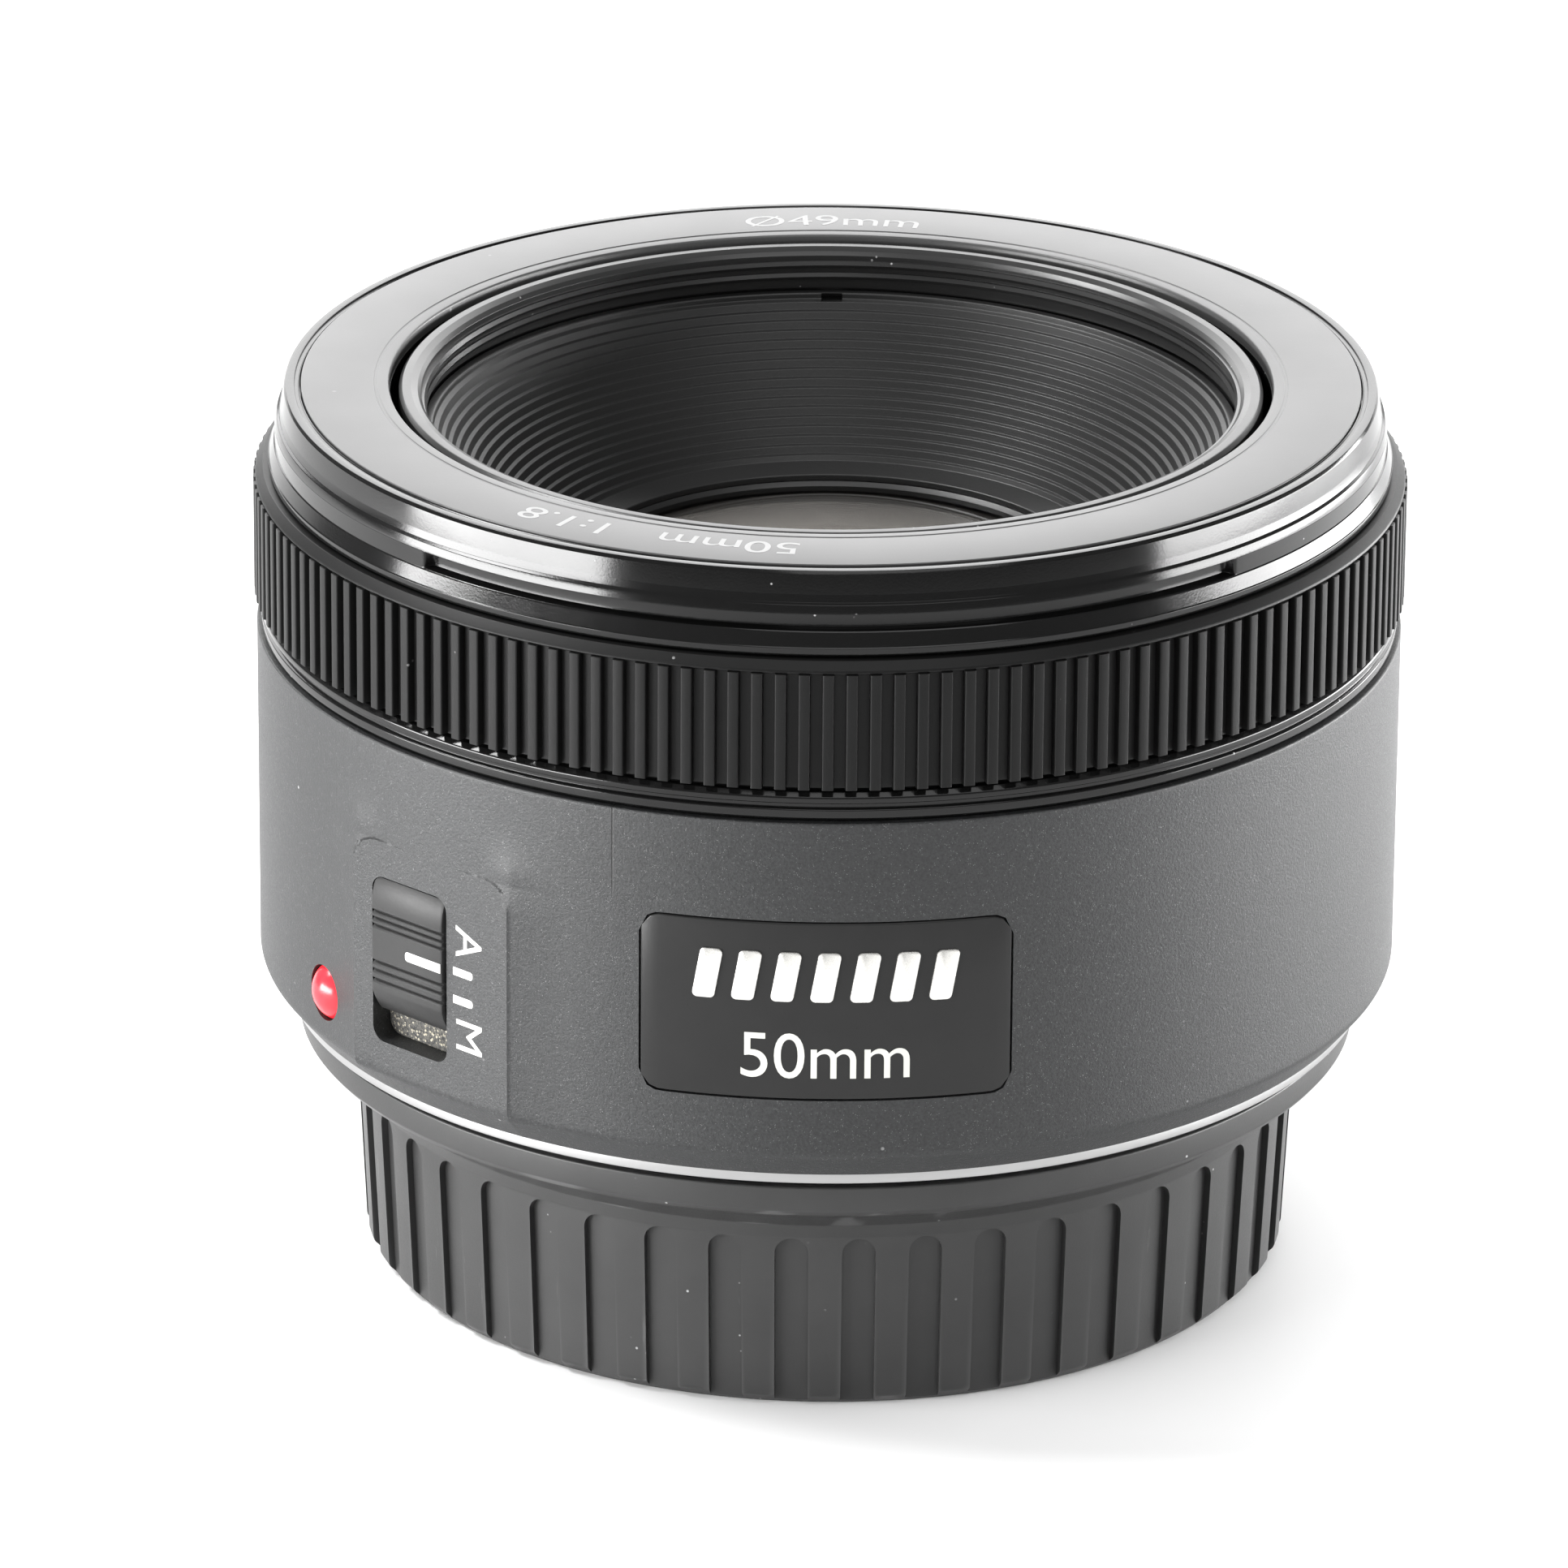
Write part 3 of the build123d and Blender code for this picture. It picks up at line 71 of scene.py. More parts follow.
class Wire:
    # one node socket that can be used in sums
    def __init__(self, graph, socket):
        self.graph, self.socket = graph, socket

    def sum(self, operation, *others):
        inputs = dict(enumerate([self, *others]))
        return self.graph.node("ShaderNodeMath", {"operation": operation}, inputs).out(0)

    def __add__(self, other):
        return self.sum("ADD", other)

    def __sub__(self, other):
        return self.sum("SUBTRACT", other)

    def __mul__(self, other):
        return self.sum("MULTIPLY", other)

    def __truediv__(self, other):
        return self.sum("DIVIDE", other)

    def __rsub__(self, other):
        return (self * -1) + other

    def __pow__(self, power):
        return self.sum("POWER", power)

    __radd__, __rmul__ = __add__, __mul__

    def above(self, edge, soft):
        # 0 below the edge and 1 above it, with a soft step
        inputs = {"Value": self, "From Min": edge - soft, "From Max": edge + soft}
        return self.graph.node("ShaderNodeMapRange", {"interpolation_type": "SMOOTHSTEP"}, inputs).out(0)


class Step:
    def __init__(self, graph, node):
        self.graph, self.node = graph, node

    def out(self, name=0):
        return Wire(self.graph, self.node.outputs[name])


class Graph:
    def __init__(self, tree):
        self.tree = tree

    def node(self, kind, settings=None, inputs=None):
        node = self.tree.nodes.new(kind)
        for name, value in (settings or {}).items():
            if name == "stops":
                for element, (position, colour) in zip(self.ramp(node, len(value)), value):
                    element.position, element.color = position, colour
            else:
                setattr(node, name, value)
        for name, value in (inputs or {}).items():
            self.join(node.inputs[name], value)
        return Step(self, node)

    def ramp(self, node, count):
        elements = node.color_ramp.elements
        while len(elements) < count:
            elements.new(0.5)
        return elements

    def join(self, socket, value):
        if isinstance(value, Wire):
            self.tree.links.new(value.socket, socket)
        elif value is not None:
            socket.default_value = value


class Finish(Graph):
    # a material: its surface is one Principled shader
    def __init__(self, name, **constants):
        self.material = bpy.data.materials.new(name)
        self.material.use_nodes = True
        super().__init__(self.material.node_tree)
        self.tree.nodes.clear()
        self.shader = self.node("ShaderNodeBsdfPrincipled")
        output = self.node("ShaderNodeOutputMaterial")
        self.tree.links.new(self.shader.node.outputs[0], output.node.inputs["Surface"])
        self.place = self.node("ShaderNodeTexCoord").out("Object")
        for socket, value in constants.items():
            self.set(socket, value)

    def set(self, socket, value):
        # socket is the shader's own socket name, with no spaces
        found = next(s for s in self.shader.node.inputs if s.name.replace(" ", "").lower() == socket.lower())
        self.join(found, value)

    def noise(self, size, detail=3.0, rough=0.55, place=None):
        inputs = {"Vector": place or self.place, "Scale": 1 / (size * mm), "Detail": detail, "Roughness": rough}
        return self.node("ShaderNodeTexNoise", {}, inputs).out(0)

    def cells(self, size, place=None):
        inputs = {"Vector": place or self.place, "Scale": 1 / (size * mm)}
        return self.node("ShaderNodeTexVoronoi", {"feature": "F1"}, inputs).out("Distance")

    def stretched(self, scale):
        inputs = {"Vector": self.place, "Scale": scale}
        return self.node("ShaderNodeMapping", {}, inputs).out(0)

    def blend(self, share, first, second):
        inputs = {"Factor": share, 6: first, 7: second}
        return self.node("ShaderNodeMix", {"data_type": "RGBA"}, inputs).out(2)

    def relief(self, height, depth, strength=1.0, under=None):
        inputs = {"Height": height, "Distance": depth * mm, "Strength": strength, "Normal": under}
        return self.node("ShaderNodeBump", {}, inputs).out(0)

    def seamLine(self, phi, width, bottom):
        # a thin upright line on the wall at an angle from the badge side, above a height
        parts = self.node("ShaderNodeSeparateXYZ", {}, {"Vector": self.place})
        x, y, z = (parts.out(axis) for axis in range(3))
        across = x * cos(radians(phi)) + y * sin(radians(phi))
        away = across.sum("ABSOLUTE")
        front = (y * -1).above(0.0, 0.001)
        return (1 - away.above(width * mm, width * mm * 0.5)) * z.above(bottom * mm, 0.001) * front

    def dust(self, spacing, amount):
        # sparse pale specks: small cell centres, kept only where a coarser noise is high
        spot = 1 - self.cells(spacing).above(0.075, 0.03)
        return spot * self.noise(spacing * 3.1, 1.0).above(1 - amount, 0.04)


def shade(grey, tint=(0, 0, 0)):
    return tuple(grey + t for t in tint) + (1,)


print("stage: materials")


def paintFinish():
    look = {"grain": 0.16, "flake": 0.11, "dark": shade(0.007, (0, 0.0005, 0.001)),
            "light": shade(0.021, (0, 0.001, 0.002)), "glint": shade(0.34), "seam": -21.1}
    paint = Finish("barrelPaint", specularIORLevel=0.5)
    grain = paint.noise(look["grain"], 4.0, 0.7).above(0.5, 0.16)
    flake = paint.cells(look["flake"]).above(0.24, 0.06)
    sparkle = (1 - flake) * paint.noise(0.31, 2.0).above(0.56, 0.05)
    seam = paint.seamLine(look["seam"], 0.05, 34.6)
    base = paint.blend(grain, look["dark"], look["light"])
    specks = paint.dust(1.4, 0.33)
    tinted = paint.blend(sparkle * 0.35, base, look["glint"])
    marked = paint.blend(specks * 0.7, tinted, shade(0.45))
    paint.set("baseColor", paint.blend(seam * 0.8, marked, shade(0.002)))
    paint.set("metallic", sparkle * 0.5)
    paint.set("roughness", 0.42 + grain * 0.10 + specks * 0.3 - sparkle * 0.08)
    paint.set("normal", paint.relief(grain - seam * 2, 0.014, 0.6))
    return paint.material


def glossFinish(name, rough, tone, specular):
    gloss = Finish(name, specularIORLevel=specular)
    haze = gloss.noise(3.2, 4.0, 0.6)
    grain = gloss.noise(0.14, 3.0)
    specks = gloss.dust(0.9, 0.40)
    gloss.set("baseColor", gloss.blend(specks, shade(tone), shade(0.38)))
    gloss.set("roughness", rough + haze * 0.09 + specks * 0.4)
    gloss.set("normal", gloss.relief(grain + specks * 0.8, 0.006, 0.5))
    return gloss.material


def satinFinish():
    satin = Finish("nameRingSatin", specularIORLevel=0.6)
    grain = satin.noise(0.12, 4.0, 0.65)
    patch = satin.noise(5.0, 3.0)
    specks = satin.dust(1.6, 0.30)
    base = satin.blend(grain, shade(0.045), shade(0.070))
    satin.set("baseColor", satin.blend(specks * 0.6, base, shade(0.5)))
    satin.set("roughness", 0.30 + grain * 0.06 + patch * 0.05)
    satin.set("normal", satin.relief(grain, 0.005, 0.5))
    return satin.material


def mouldedFinish(name, tone, rough, size=0.2, relief=0.010, dusty=0.0, specular=0.5):
    moulded = Finish(name, specularIORLevel=specular)
    grain = moulded.noise(size, 4.0, 0.6)
    patch = moulded.noise(size * 22, 3.0)
    base = moulded.blend(patch, shade(tone * 0.8), shade(tone * 1.25))
    if dusty:
        specks = moulded.dust(1.1, dusty)
        base = moulded.blend(specks * 0.8, base, shade(0.42))
        moulded.set("roughness", rough + grain * 0.12 + specks * 0.3)
    else:
        moulded.set("roughness", rough + grain * 0.12)
    moulded.set("baseColor", base)
    moulded.set("normal", moulded.relief(grain + patch * 0.4, relief, 0.6))
    return moulded.material


def capFinish():
    cap = Finish("capPlastic", specularIORLevel=0.45)
    grain = cap.noise(0.13, 4.0, 0.6)
    patch = cap.noise(4.5, 4.0)
    edge = cap.node("ShaderNodeNewGeometry").out("Pointiness").above(0.56, 0.04)
    scratch = cap.noise(0.6, 5.0, 0.7, cap.stretched((1, 1, 0.05))).above(0.70, 0.03)
    specks = cap.dust(1.0, 0.36)
    base = cap.blend(patch, shade(0.017), shade(0.030))
    worn = cap.blend(edge * 0.35 + scratch * 0.25, base, shade(0.13))
    cap.set("baseColor", cap.blend(specks * 0.8, worn, shade(0.5)))
    cap.set("roughness", 0.34 + grain * 0.14 - scratch * 0.06)
    cap.set("normal", cap.relief(grain + scratch * -0.6, 0.010, 0.55))
    return cap.material


def metalFinish(name, tone, rough, stretch=(1, 1, 1), metal=1.0, size=0.25):
    metallic = Finish(name, metallic=metal)
    brushed = metallic.noise(size, 5.0, 0.65, metallic.stretched(stretch))
    patch = metallic.noise(4.0, 3.0)
    dark = tuple(c * 0.82 for c in tone[:3]) + (1,)
    metallic.set("baseColor", metallic.blend(brushed * 0.6 + patch * 0.4, dark, tone))
    metallic.set("roughness", rough + brushed * 0.14)
    metallic.set("normal", metallic.relief(brushed, 0.003, 0.5))
    return metallic.material


def redFinish():
    red = Finish("redDot", specularIORLevel=0.4)
    grain = red.noise(0.5, 3.0)
    red.set("baseColor", red.blend(grain, (0.80, 0.020, 0.030, 1), (0.95, 0.035, 0.050, 1)))
    red.set("roughness", 0.16 + grain * 0.08)
    red.set("normal", red.relief(grain, 0.01, 0.3))
    return red.material


def glassFinish():
    glass = Finish("coatedGlass", transmissionWeight=0.92, iOR=1.5, specularIORLevel=0.2)
    smudge = glass.noise(6.0, 4.0)
    dustSpecks = glass.dust(1.3, 0.25)
    glass.set("baseColor", glass.blend(smudge, (0.34, 0.32, 0.30, 1), (0.42, 0.40, 0.37, 1)))
    glass.set("roughness", 0.004 + smudge * 0.012 + dustSpecks * 0.2)
    return glass.material


def feltFinish():
    felt = Finish("switchFelt", sheenWeight=0.6, sheenRoughness=0.5)
    fibre = felt.noise(0.20, 5.0, 0.75)
    fleck = felt.cells(0.22).above(0.34, 0.08)
    base = felt.blend(fibre.above(0.5, 0.1), shade(0.008), (0.10, 0.095, 0.08, 1))
    felt.set("baseColor", felt.blend((1 - fleck) * fibre.above(0.47, 0.06), base, (0.55, 0.50, 0.38, 1)))
    felt.set("roughness", 0.85 + fibre * 0.1)
    felt.set("normal", felt.relief(fibre - fleck * 0.3, 0.10, 0.9))
    return felt.material


def printFinish(name, tone, rough=0.45):
    ink = Finish(name, specularIORLevel=0.4)
    grain = ink.noise(0.09, 4.0, 0.6)
    thin = grain.above(0.30, 0.05)
    faded = tuple(c * 0.78 for c in tone[:3]) + (1,)
    ink.set("baseColor", ink.blend(thin, faded, tone))
    ink.set("roughness", rough + grain * 0.1)
    ink.set("normal", ink.relief(grain, 0.004, 0.4))
    return ink.material


def boardFinish():
    board = Finish("circuitBoard", specularIORLevel=0.5)
    tracks = board.node("ShaderNodeTexBrick", {"offset": 0.5},
                        {"Vector": board.place, "Scale": 520.0, "Mortar Size": 0.06}).out("Fac")
    grain = board.noise(0.4, 3.0)
    base = board.blend(grain, (0.010, 0.075, 0.040, 1), (0.016, 0.11, 0.055, 1))
    board.set("baseColor", board.blend(tracks * 0.6, base, (0.05, 0.25, 0.11, 1)))
    board.set("roughness", 0.28 + grain * 0.12)
    board.set("normal", board.relief(tracks, 0.03, 0.6))
    return board.material


gold = (0.86, 0.60, 0.22, 1)
steel = (0.58, 0.58, 0.60, 1)
finishes = {
    "barrel_plastic": paintFinish(),
    "badge_plastic": mouldedFinish("badgePlastic", 0.010, 0.24, 0.12, 0.004, 0.2, 0.32),
    "red_dot": redFinish(),
    "gloss_black": glossFinish("glossBlack", 0.09, 0.004, 0.34),
    "name_ring_satin": satinFinish(),
    "grip_plastic": mouldedFinish("gripPlastic", 0.006, 0.36, 0.16, 0.008, 0.3, 0.18),
    "inner_black": mouldedFinish("innerBlack", 0.020, 0.5, 0.3, 0.012),
    "mount_metal": metalFinish("mountMetal", (0.44, 0.44, 0.44, 1), 0.24, (1, 1, 14)),
    "screw_steel": metalFinish("screwSteel", steel, 0.24),
    "contact_plastic": mouldedFinish("contactPlastic", 0.014, 0.45),
    "contact_gold": metalFinish("contactGold", gold, 0.14),
    "flex_film": mouldedFinish("flexFilm", 0.16, 0.3),
    "circuit_board": boardFinish(),
    "chip_black": mouldedFinish("chipBlack", 0.020, 0.5, 0.12),
    "motor_can": metalFinish("motorCan", (0.66, 0.66, 0.67, 1), 0.22, (1, 1, 9)),
    "guide_aluminium": metalFinish("guideAluminium", (0.10, 0.10, 0.11, 1), 0.32, (1, 1, 8)),
    "inner_barrel_gloss": glossFinish("innerBarrelGloss", 0.26, 0.020, 0.5),
    "baffle_matte": mouldedFinish("baffleMatte", 0.006, 0.40, 0.2, 0.010, 0.18, 0.7),
    "gear_nylon": mouldedFinish("gearNylon", 0.62, 0.42, 0.3),
    "gear_brass": metalFinish("gearBrass", (0.78, 0.58, 0.26, 1), 0.22),
    "switch_plastic": mouldedFinish("switchPlastic", 0.012, 0.42, 0.2, 0.008, 0.3, 0.36),
    "felt": feltFinish(),
    "cap_plastic": capFinish(),
    "coated_glass": glassFinish(),
    "blade_steel": mouldedFinish("bladeFilm", 0.016, 0.38, 0.1, 0.003),
}
ringInk = printFinish("ringInk", (0.42, 0.42, 0.42, 1), 0.4)
whiteInk = printFinish("whiteInk", (0.80, 0.80, 0.78, 1))
badgeInk = printFinish("badgeInk", (0.62, 0.62, 0.58, 1))
badgeSilver = metalFinish("badgeSilver", (0.78, 0.77, 0.74, 1), 0.20, (1, 1, 1), 0.85)


# mesh helpers; lengths are millimetres until a mesh is made

def roundedOutline(corners, steps=5, loop=True):
    # corners are (radius, height) or (radius, height, rounding)
    points = []
    count = len(corners)
    for index, corner in enumerate(corners):
        here = Vector(corner[:2])
        rounding = corner[2] if len(corner) > 2 else 0
        if not rounding or (not loop and index in (0, count - 1)):
            points.append(here)
            continue
        before = Vector(corners[index - 1][:2]) - here
        after = Vector(corners[(index + 1) % count][:2]) - here
        half = before.angle(after) / 2
        reach = min(rounding / tan(half), 0.48 * before.length, 0.48 * after.length)
        radius = reach * tan(half)
        centre = here + (before.normalized() + after.normalized()).normalized() * (radius / sin(half))
        start = here + before.normalized() * reach - centre
        end = here + after.normalized() * reach - centre
        sweep = start.angle_signed(end)
        for step in range(steps + 1):
            share = -sweep * step / steps
            turned = Matrix.Rotation(share, 2) @ start
            points.append(centre + turned)
    return points


def cleanMesh(mesh, sharp=32.0, outward=True):
    work = bmesh.new()
    work.from_mesh(mesh)
    bmesh.ops.remove_doubles(work, verts=work.verts, dist=2e-7)
    if outward:
        bmesh.ops.recalc_face_normals(work, faces=work.faces)
    work.to_mesh(mesh)
    work.free()
    mesh.shade_smooth()
    mesh.set_sharp_from_angle(angle=radians(sharp))
    return mesh


def addObject(name, mesh):
    piece = bpy.data.objects.new(name, mesh)
    bpy.context.scene.collection.objects.link(piece)
    return piece


def makeObject(name, points, faces, sharp=32.0):
    mesh = bpy.data.meshes.new(name)
    mesh.from_pydata([Vector(p) * mm for p in points], [], faces)
    return addObject(name, cleanMesh(mesh, sharp))


def onRing(radius, phi, z):
    # phi is in degrees from the badge side, towards the badge's right
    return (radius * sin(radians(phi)), -radius * cos(radians(phi)), z)


def lathe(name, corners, segments=240, steps=5, shift=None, angles=None):
    # shift(phi, r, z) may move a point's radius
    outline = roundedOutline(corners, steps)
    rows = len(outline)
    phis = angles or [360 * k / segments for k in range(segments)]
    points = []
    for phi in phis:
        for p in outline:
            radius = p.x if shift is None else shift(phi, p.x, p.y)
            points.append(onRing(radius, phi, p.y))
    faces = []
    for k in range(len(phis)):
        nextK = (k + 1) % len(phis)
        for i in range(rows):
            nextI = (i + 1) % rows
            faces.append((k * rows + i, nextK * rows + i, nextK * rows + nextI, k * rows + nextI))
    return makeObject(name, points, faces)


def evaluated(piece, sharp=32.0, keepNormals=False):
    # the piece with its modifiers made into a plain mesh
    graph = bpy.context.evaluated_depsgraph_get()
    mesh = bpy.data.meshes.new_from_object(piece.evaluated_get(graph))
    piece.modifiers.clear()
    piece.data = cleanMesh(mesh, sharp, not keepNormals)
    return piece


def cut(piece, cutters, sharp=32.0):
    for cutter in cutters:
        change = piece.modifiers.new("cut", "BOOLEAN")
        change.operation, change.solver, change.object = "DIFFERENCE", "EXACT", cutter
    evaluated(piece, sharp)
    for cutter in cutters:
        bpy.data.objects.remove(cutter)
    return piece


def joined(name, pieces, sharp=32.0):
    work = bmesh.new()
    for piece in pieces:
        work.from_mesh(piece.data)
        bpy.data.objects.remove(piece)
    mesh = bpy.data.meshes.new(name)
    work.to_mesh(mesh)
    work.free()
    mesh.shade_smooth()
    mesh.set_sharp_from_angle(angle=radians(sharp))
    return addObject(name, mesh)


def prism(name, outline, low, high, place, bevel=0.0, bevelSteps=3):
    # an outline in the place's X and Y, from low to high along its Z, with its rim edges rounded
    slices = [(low, 0.0)]
    if bevel:
        arc = [pi / 2 * i / bevelSteps for i in range(bevelSteps + 1)]
        slices = [(low + bevel * (1 - sin(a)), bevel * (1 - cos(a))) for a in reversed(arc)]
        slices += [(high - bevel * (1 - sin(a)), bevel * (1 - cos(a))) for a in arc]
    else:
        slices += [(high, 0.0)]
    count = len(outline)
    points = []
    for height, inset in slices:
        for x, y in insetOutline(outline, inset):
            points.append(place @ Vector((x, y, height)))
    faces = [tuple(range(count))[::-1], tuple(range(len(points) - count, len(points)))]
    for level in range(len(slices) - 1):
        for i in range(count):
            j = (i + 1) % count
            faces.append((level * count + i, level * count + j, (level + 1) * count + j, (level + 1) * count + i))
    return makeObject(name, points, faces)


def insetOutline(outline, inset):
    if not inset:
        return [tuple(p) for p in outline]
    moved = []
    count = len(outline)
    for i in range(count):
        here = Vector(outline[i][:2])
        along = (Vector(outline[(i + 1) % count][:2]) - Vector(outline[i - 1][:2])).normalized()
        moved.append(tuple(here + Vector((-along.y, along.x)) * inset))
    return moved


def roundedBox(left, right, low, high, rounding, steps=5):
    corners = [(left, low, rounding), (right, low, rounding), (right, high, rounding), (left, high, rounding)]
    return [tuple(p) for p in roundedOutline(corners, steps)]


def flatText(text, height):
    # the text's own mesh, filled, with its baseline at y = 0 and its middle at x = 0, in millimetres
    curve = bpy.data.curves.new("lettering", "FONT")
    curve.body = text
    curve.resolution_u = 6
    holder = bpy.data.objects.new("lettering", curve)
    bpy.context.scene.collection.objects.link(holder)
    graph = bpy.context.evaluated_depsgraph_get()
    mesh = bpy.data.meshes.new_from_object(holder.evaluated_get(graph))
    bpy.data.objects.remove(holder)
    work = bmesh.new()
    work.from_mesh(mesh)
    bmesh.ops.remove_doubles(work, verts=work.verts, dist=1e-5)
    work.to_mesh(mesh)
    work.free()
    digits = [v.co for v in mesh.vertices]
    capHeight = 0.729
    scale = height / capHeight
    middle = (min(c.x for c in digits) + max(c.x for c in digits)) / 2
    for vertex in mesh.vertices:
        vertex.co = Vector(((vertex.co.x - middle) * scale, vertex.co.y * scale, 0))
    return mesh


def raisedText(name, text, height, place, thick, widen=1.0):
    # place(x, y, lift) gives where a point of the flat lettering goes, in millimetres
    flat = flatText(text, height)
    work = bmesh.new()
    work.from_mesh(flat)
    bmesh.ops.triangulate(work, faces=work.faces)
    long = [e for e in work.edges if e.calc_length() > 0.5]
    bmesh.ops.subdivide_edges(work, edges=long, cuts=2)
    bmesh.ops.triangulate(work, faces=work.faces)
    for face in work.faces:
        if face.normal.z < 0:
            face.normal_flip()
    top = bmesh.ops.extrude_face_region(work, geom=work.faces[:])
    raised = {v for v in top["geom"] if isinstance(v, bmesh.types.BMVert)}
    for vertex in work.verts:
        lift = thick if vertex in raised else 0.0
        vertex.co = Vector(place(vertex.co.x * widen, vertex.co.y, lift)) * mm
    bmesh.ops.recalc_face_normals(work, faces=work.faces)
    mesh = bpy.data.meshes.new(name)
    work.to_mesh(mesh)
    work.free()
    mesh.shade_smooth()
    mesh.set_sharp_from_angle(angle=radians(30))
    return addObject(name, mesh)


# geometry node trees

def newTree(name, sockets):
    tree = bpy.data.node_groups.new(name, "GeometryNodeTree")
    tree.interface.new_socket("Geometry", in_out="INPUT", socket_type="NodeSocketGeometry")
    for label, kind, value in sockets:
        socket = tree.interface.new_socket(label, in_out="INPUT", socket_type="NodeSocket" + kind)
        if value is not None:
            socket.default_value = value
    tree.interface.new_socket("Geometry", in_out="OUTPUT", socket_type="NodeSocketGeometry")
    graph = Graph(tree)
    graph.given = graph.node("NodeGroupInput")
    graph.result = graph.node("NodeGroupOutput")
    return graph


def closeTree(graph, geometry):
    real = graph.node("GeometryNodeRealizeInstances", {}, {"Geometry": geometry}).out()
    painted = graph.node("GeometryNodeSetMaterial", {},
                         {"Geometry": real, "Material": graph.given.out("Finish")}).out()
    graph.join(graph.result.node.inputs[0], painted)
    return graph.tree


def aroundAxis(graph, item):
    # copies an item, built on the badge side, round the optical axis
    points = graph.node("GeometryNodeMeshLine", {}, {"Count": graph.given.out("Count"), "Offset": (0, 0, 0)}).out()
    index = graph.node("GeometryNodeInputIndex").out()
    angle = index * graph.given.out("Step Angle") + graph.given.out("Start Angle")
    turn = graph.node("ShaderNodeCombineXYZ", {}, {"Z": angle}).out()
    inputs = {"Points": points, "Instance": item, "Rotation": turn}
    return graph.node("GeometryNodeInstanceOnPoints", {}, inputs).out()


def polarTree():
    sockets = [("Count", "Int", 12), ("Step Angle", "Float", 0.5), ("Start Angle", "Float", 0.0),
               ("Finish", "Material", None)]
    graph = newTree("polarCopies", sockets)
    return closeTree(graph, aroundAxis(graph, graph.given.out("Geometry")))


def fluteTree():
    sockets = [("Count", "Int", 45), ("Step Angle", "Float", 0.14), ("Start Angle", "Float", 0.0),
               ("Flute Cutter", "Object", None), ("Finish", "Material", None)]
    graph = newTree("fluteCuts", sockets)
    cutter = graph.node("GeometryNodeObjectInfo", {}, {"Object": graph.given.out("Flute Cutter")}).out("Geometry")
    copies = graph.node("GeometryNodeRealizeInstances", {}, {"Geometry": aroundAxis(graph, cutter)}).out()
    cutBody = graph.node("GeometryNodeMeshBoolean", {"operation": "DIFFERENCE", "solver": "EXACT"},
                         {"Mesh 1": graph.given.out("Geometry")})
    graph.tree.links.new(copies.socket, cutBody.node.inputs["Mesh 2"])
    return closeTree(graph, cutBody.out("Mesh"))


def threadTree():
    sockets = [("Radius", "Float", 0.0245), ("Pitch", "Float", 0.00075), ("Turns", "Float", 2.0),
               ("Ridge", "Float", 0.0002), ("Base Height", "Float", 0.05), ("Finish", "Material", None)]
    graph = newTree("threadHelix", sockets)
    given = graph.given
    helix = graph.node("GeometryNodeCurveSpiral", {}, {
        "Resolution": 180, "Rotations": given.out("Turns"), "Start Radius": given.out("Radius"),
        "End Radius": given.out("Radius"), "Height": given.out("Pitch") * given.out("Turns")}).out()
    section = graph.node("GeometryNodeCurvePrimitiveCircle", {}, {
        "Resolution": 6, "Radius": given.out("Ridge")}).out()
    swept = graph.node("GeometryNodeCurveToMesh", {}, {
        "Curve": helix, "Profile Curve": section, "Fill Caps": True}).out()
    lift = graph.node("ShaderNodeCombineXYZ", {}, {"Z": given.out("Base Height")}).out()
    raised = graph.node("GeometryNodeTransform", {}, {"Geometry": swept, "Translation": lift}).out()
    return closeTree(graph, raised)


def grow(piece, tree, values, sharp=32.0):
    # runs a tree on a piece and keeps the plain mesh
    change = piece.modifiers.new("grow", "NODES")
    change.node_group = tree
    for item in tree.interface.items_tree:
        if item.in_out == "INPUT" and item.name in values:
            change[item.identifier] = values[item.name]
    return evaluated(piece, sharp)


trees = {"polar": polarTree(), "flutes": fluteTree(), "thread": threadTree()}


def settle(piece, body, slotName, replaced=(), finish=None):
    piece.data.materials.clear()
    piece.data.materials.append(finish or finishes[slotName])
    for polygon in piece.data.polygons:
        polygon.material_index = 0
    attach(piece, body)
    if replaced:
        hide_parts(*replaced)
    return piece


# outer barrel
print("stage: barrel")
barrelShape = {"radius": 34.45, "bore": 32.95, "base": 17.16, "top": 39.8, "chamferRadius": 33.0,
               "chamferTop": 18.9, "floorTop": 18.46, "floorBore": 27.4, "seamPhi": -21.1}
panelShape = {"phi": -42.3, "distance": 34.3, "half": 6.3, "top": 33.66, "corner": 1.8, "ramp": 3.8,
              "lip": 0.11, "left": -4.92, "right": 1.15, "windowBase": 20.96, "windowTop": 31.46,
              "windowCorner": 0.9, "shift": 0.2}
badgeShape = {"half": 10.95, "base": 22.55, "top": 33.6, "corner": 1.2, "gap": 0.09, "depth": 0.5}
dotShape = {"phi": -60.0, "z": 21.8, "radius": 1.64, "hole": 1.72, "base": 32.4, "crown": 34.14, "dome": 0.9}


def panelAxes():
    # X runs across the panel towards the badge, Y up, Z out of it
    phi = radians(panelShape["phi"])
    out = Vector((sin(phi), -cos(phi), 0))
    across = Vector((cos(phi), sin(phi), 0))
    return Matrix((across, Vector((0, 0, 1)), out)).transposed()


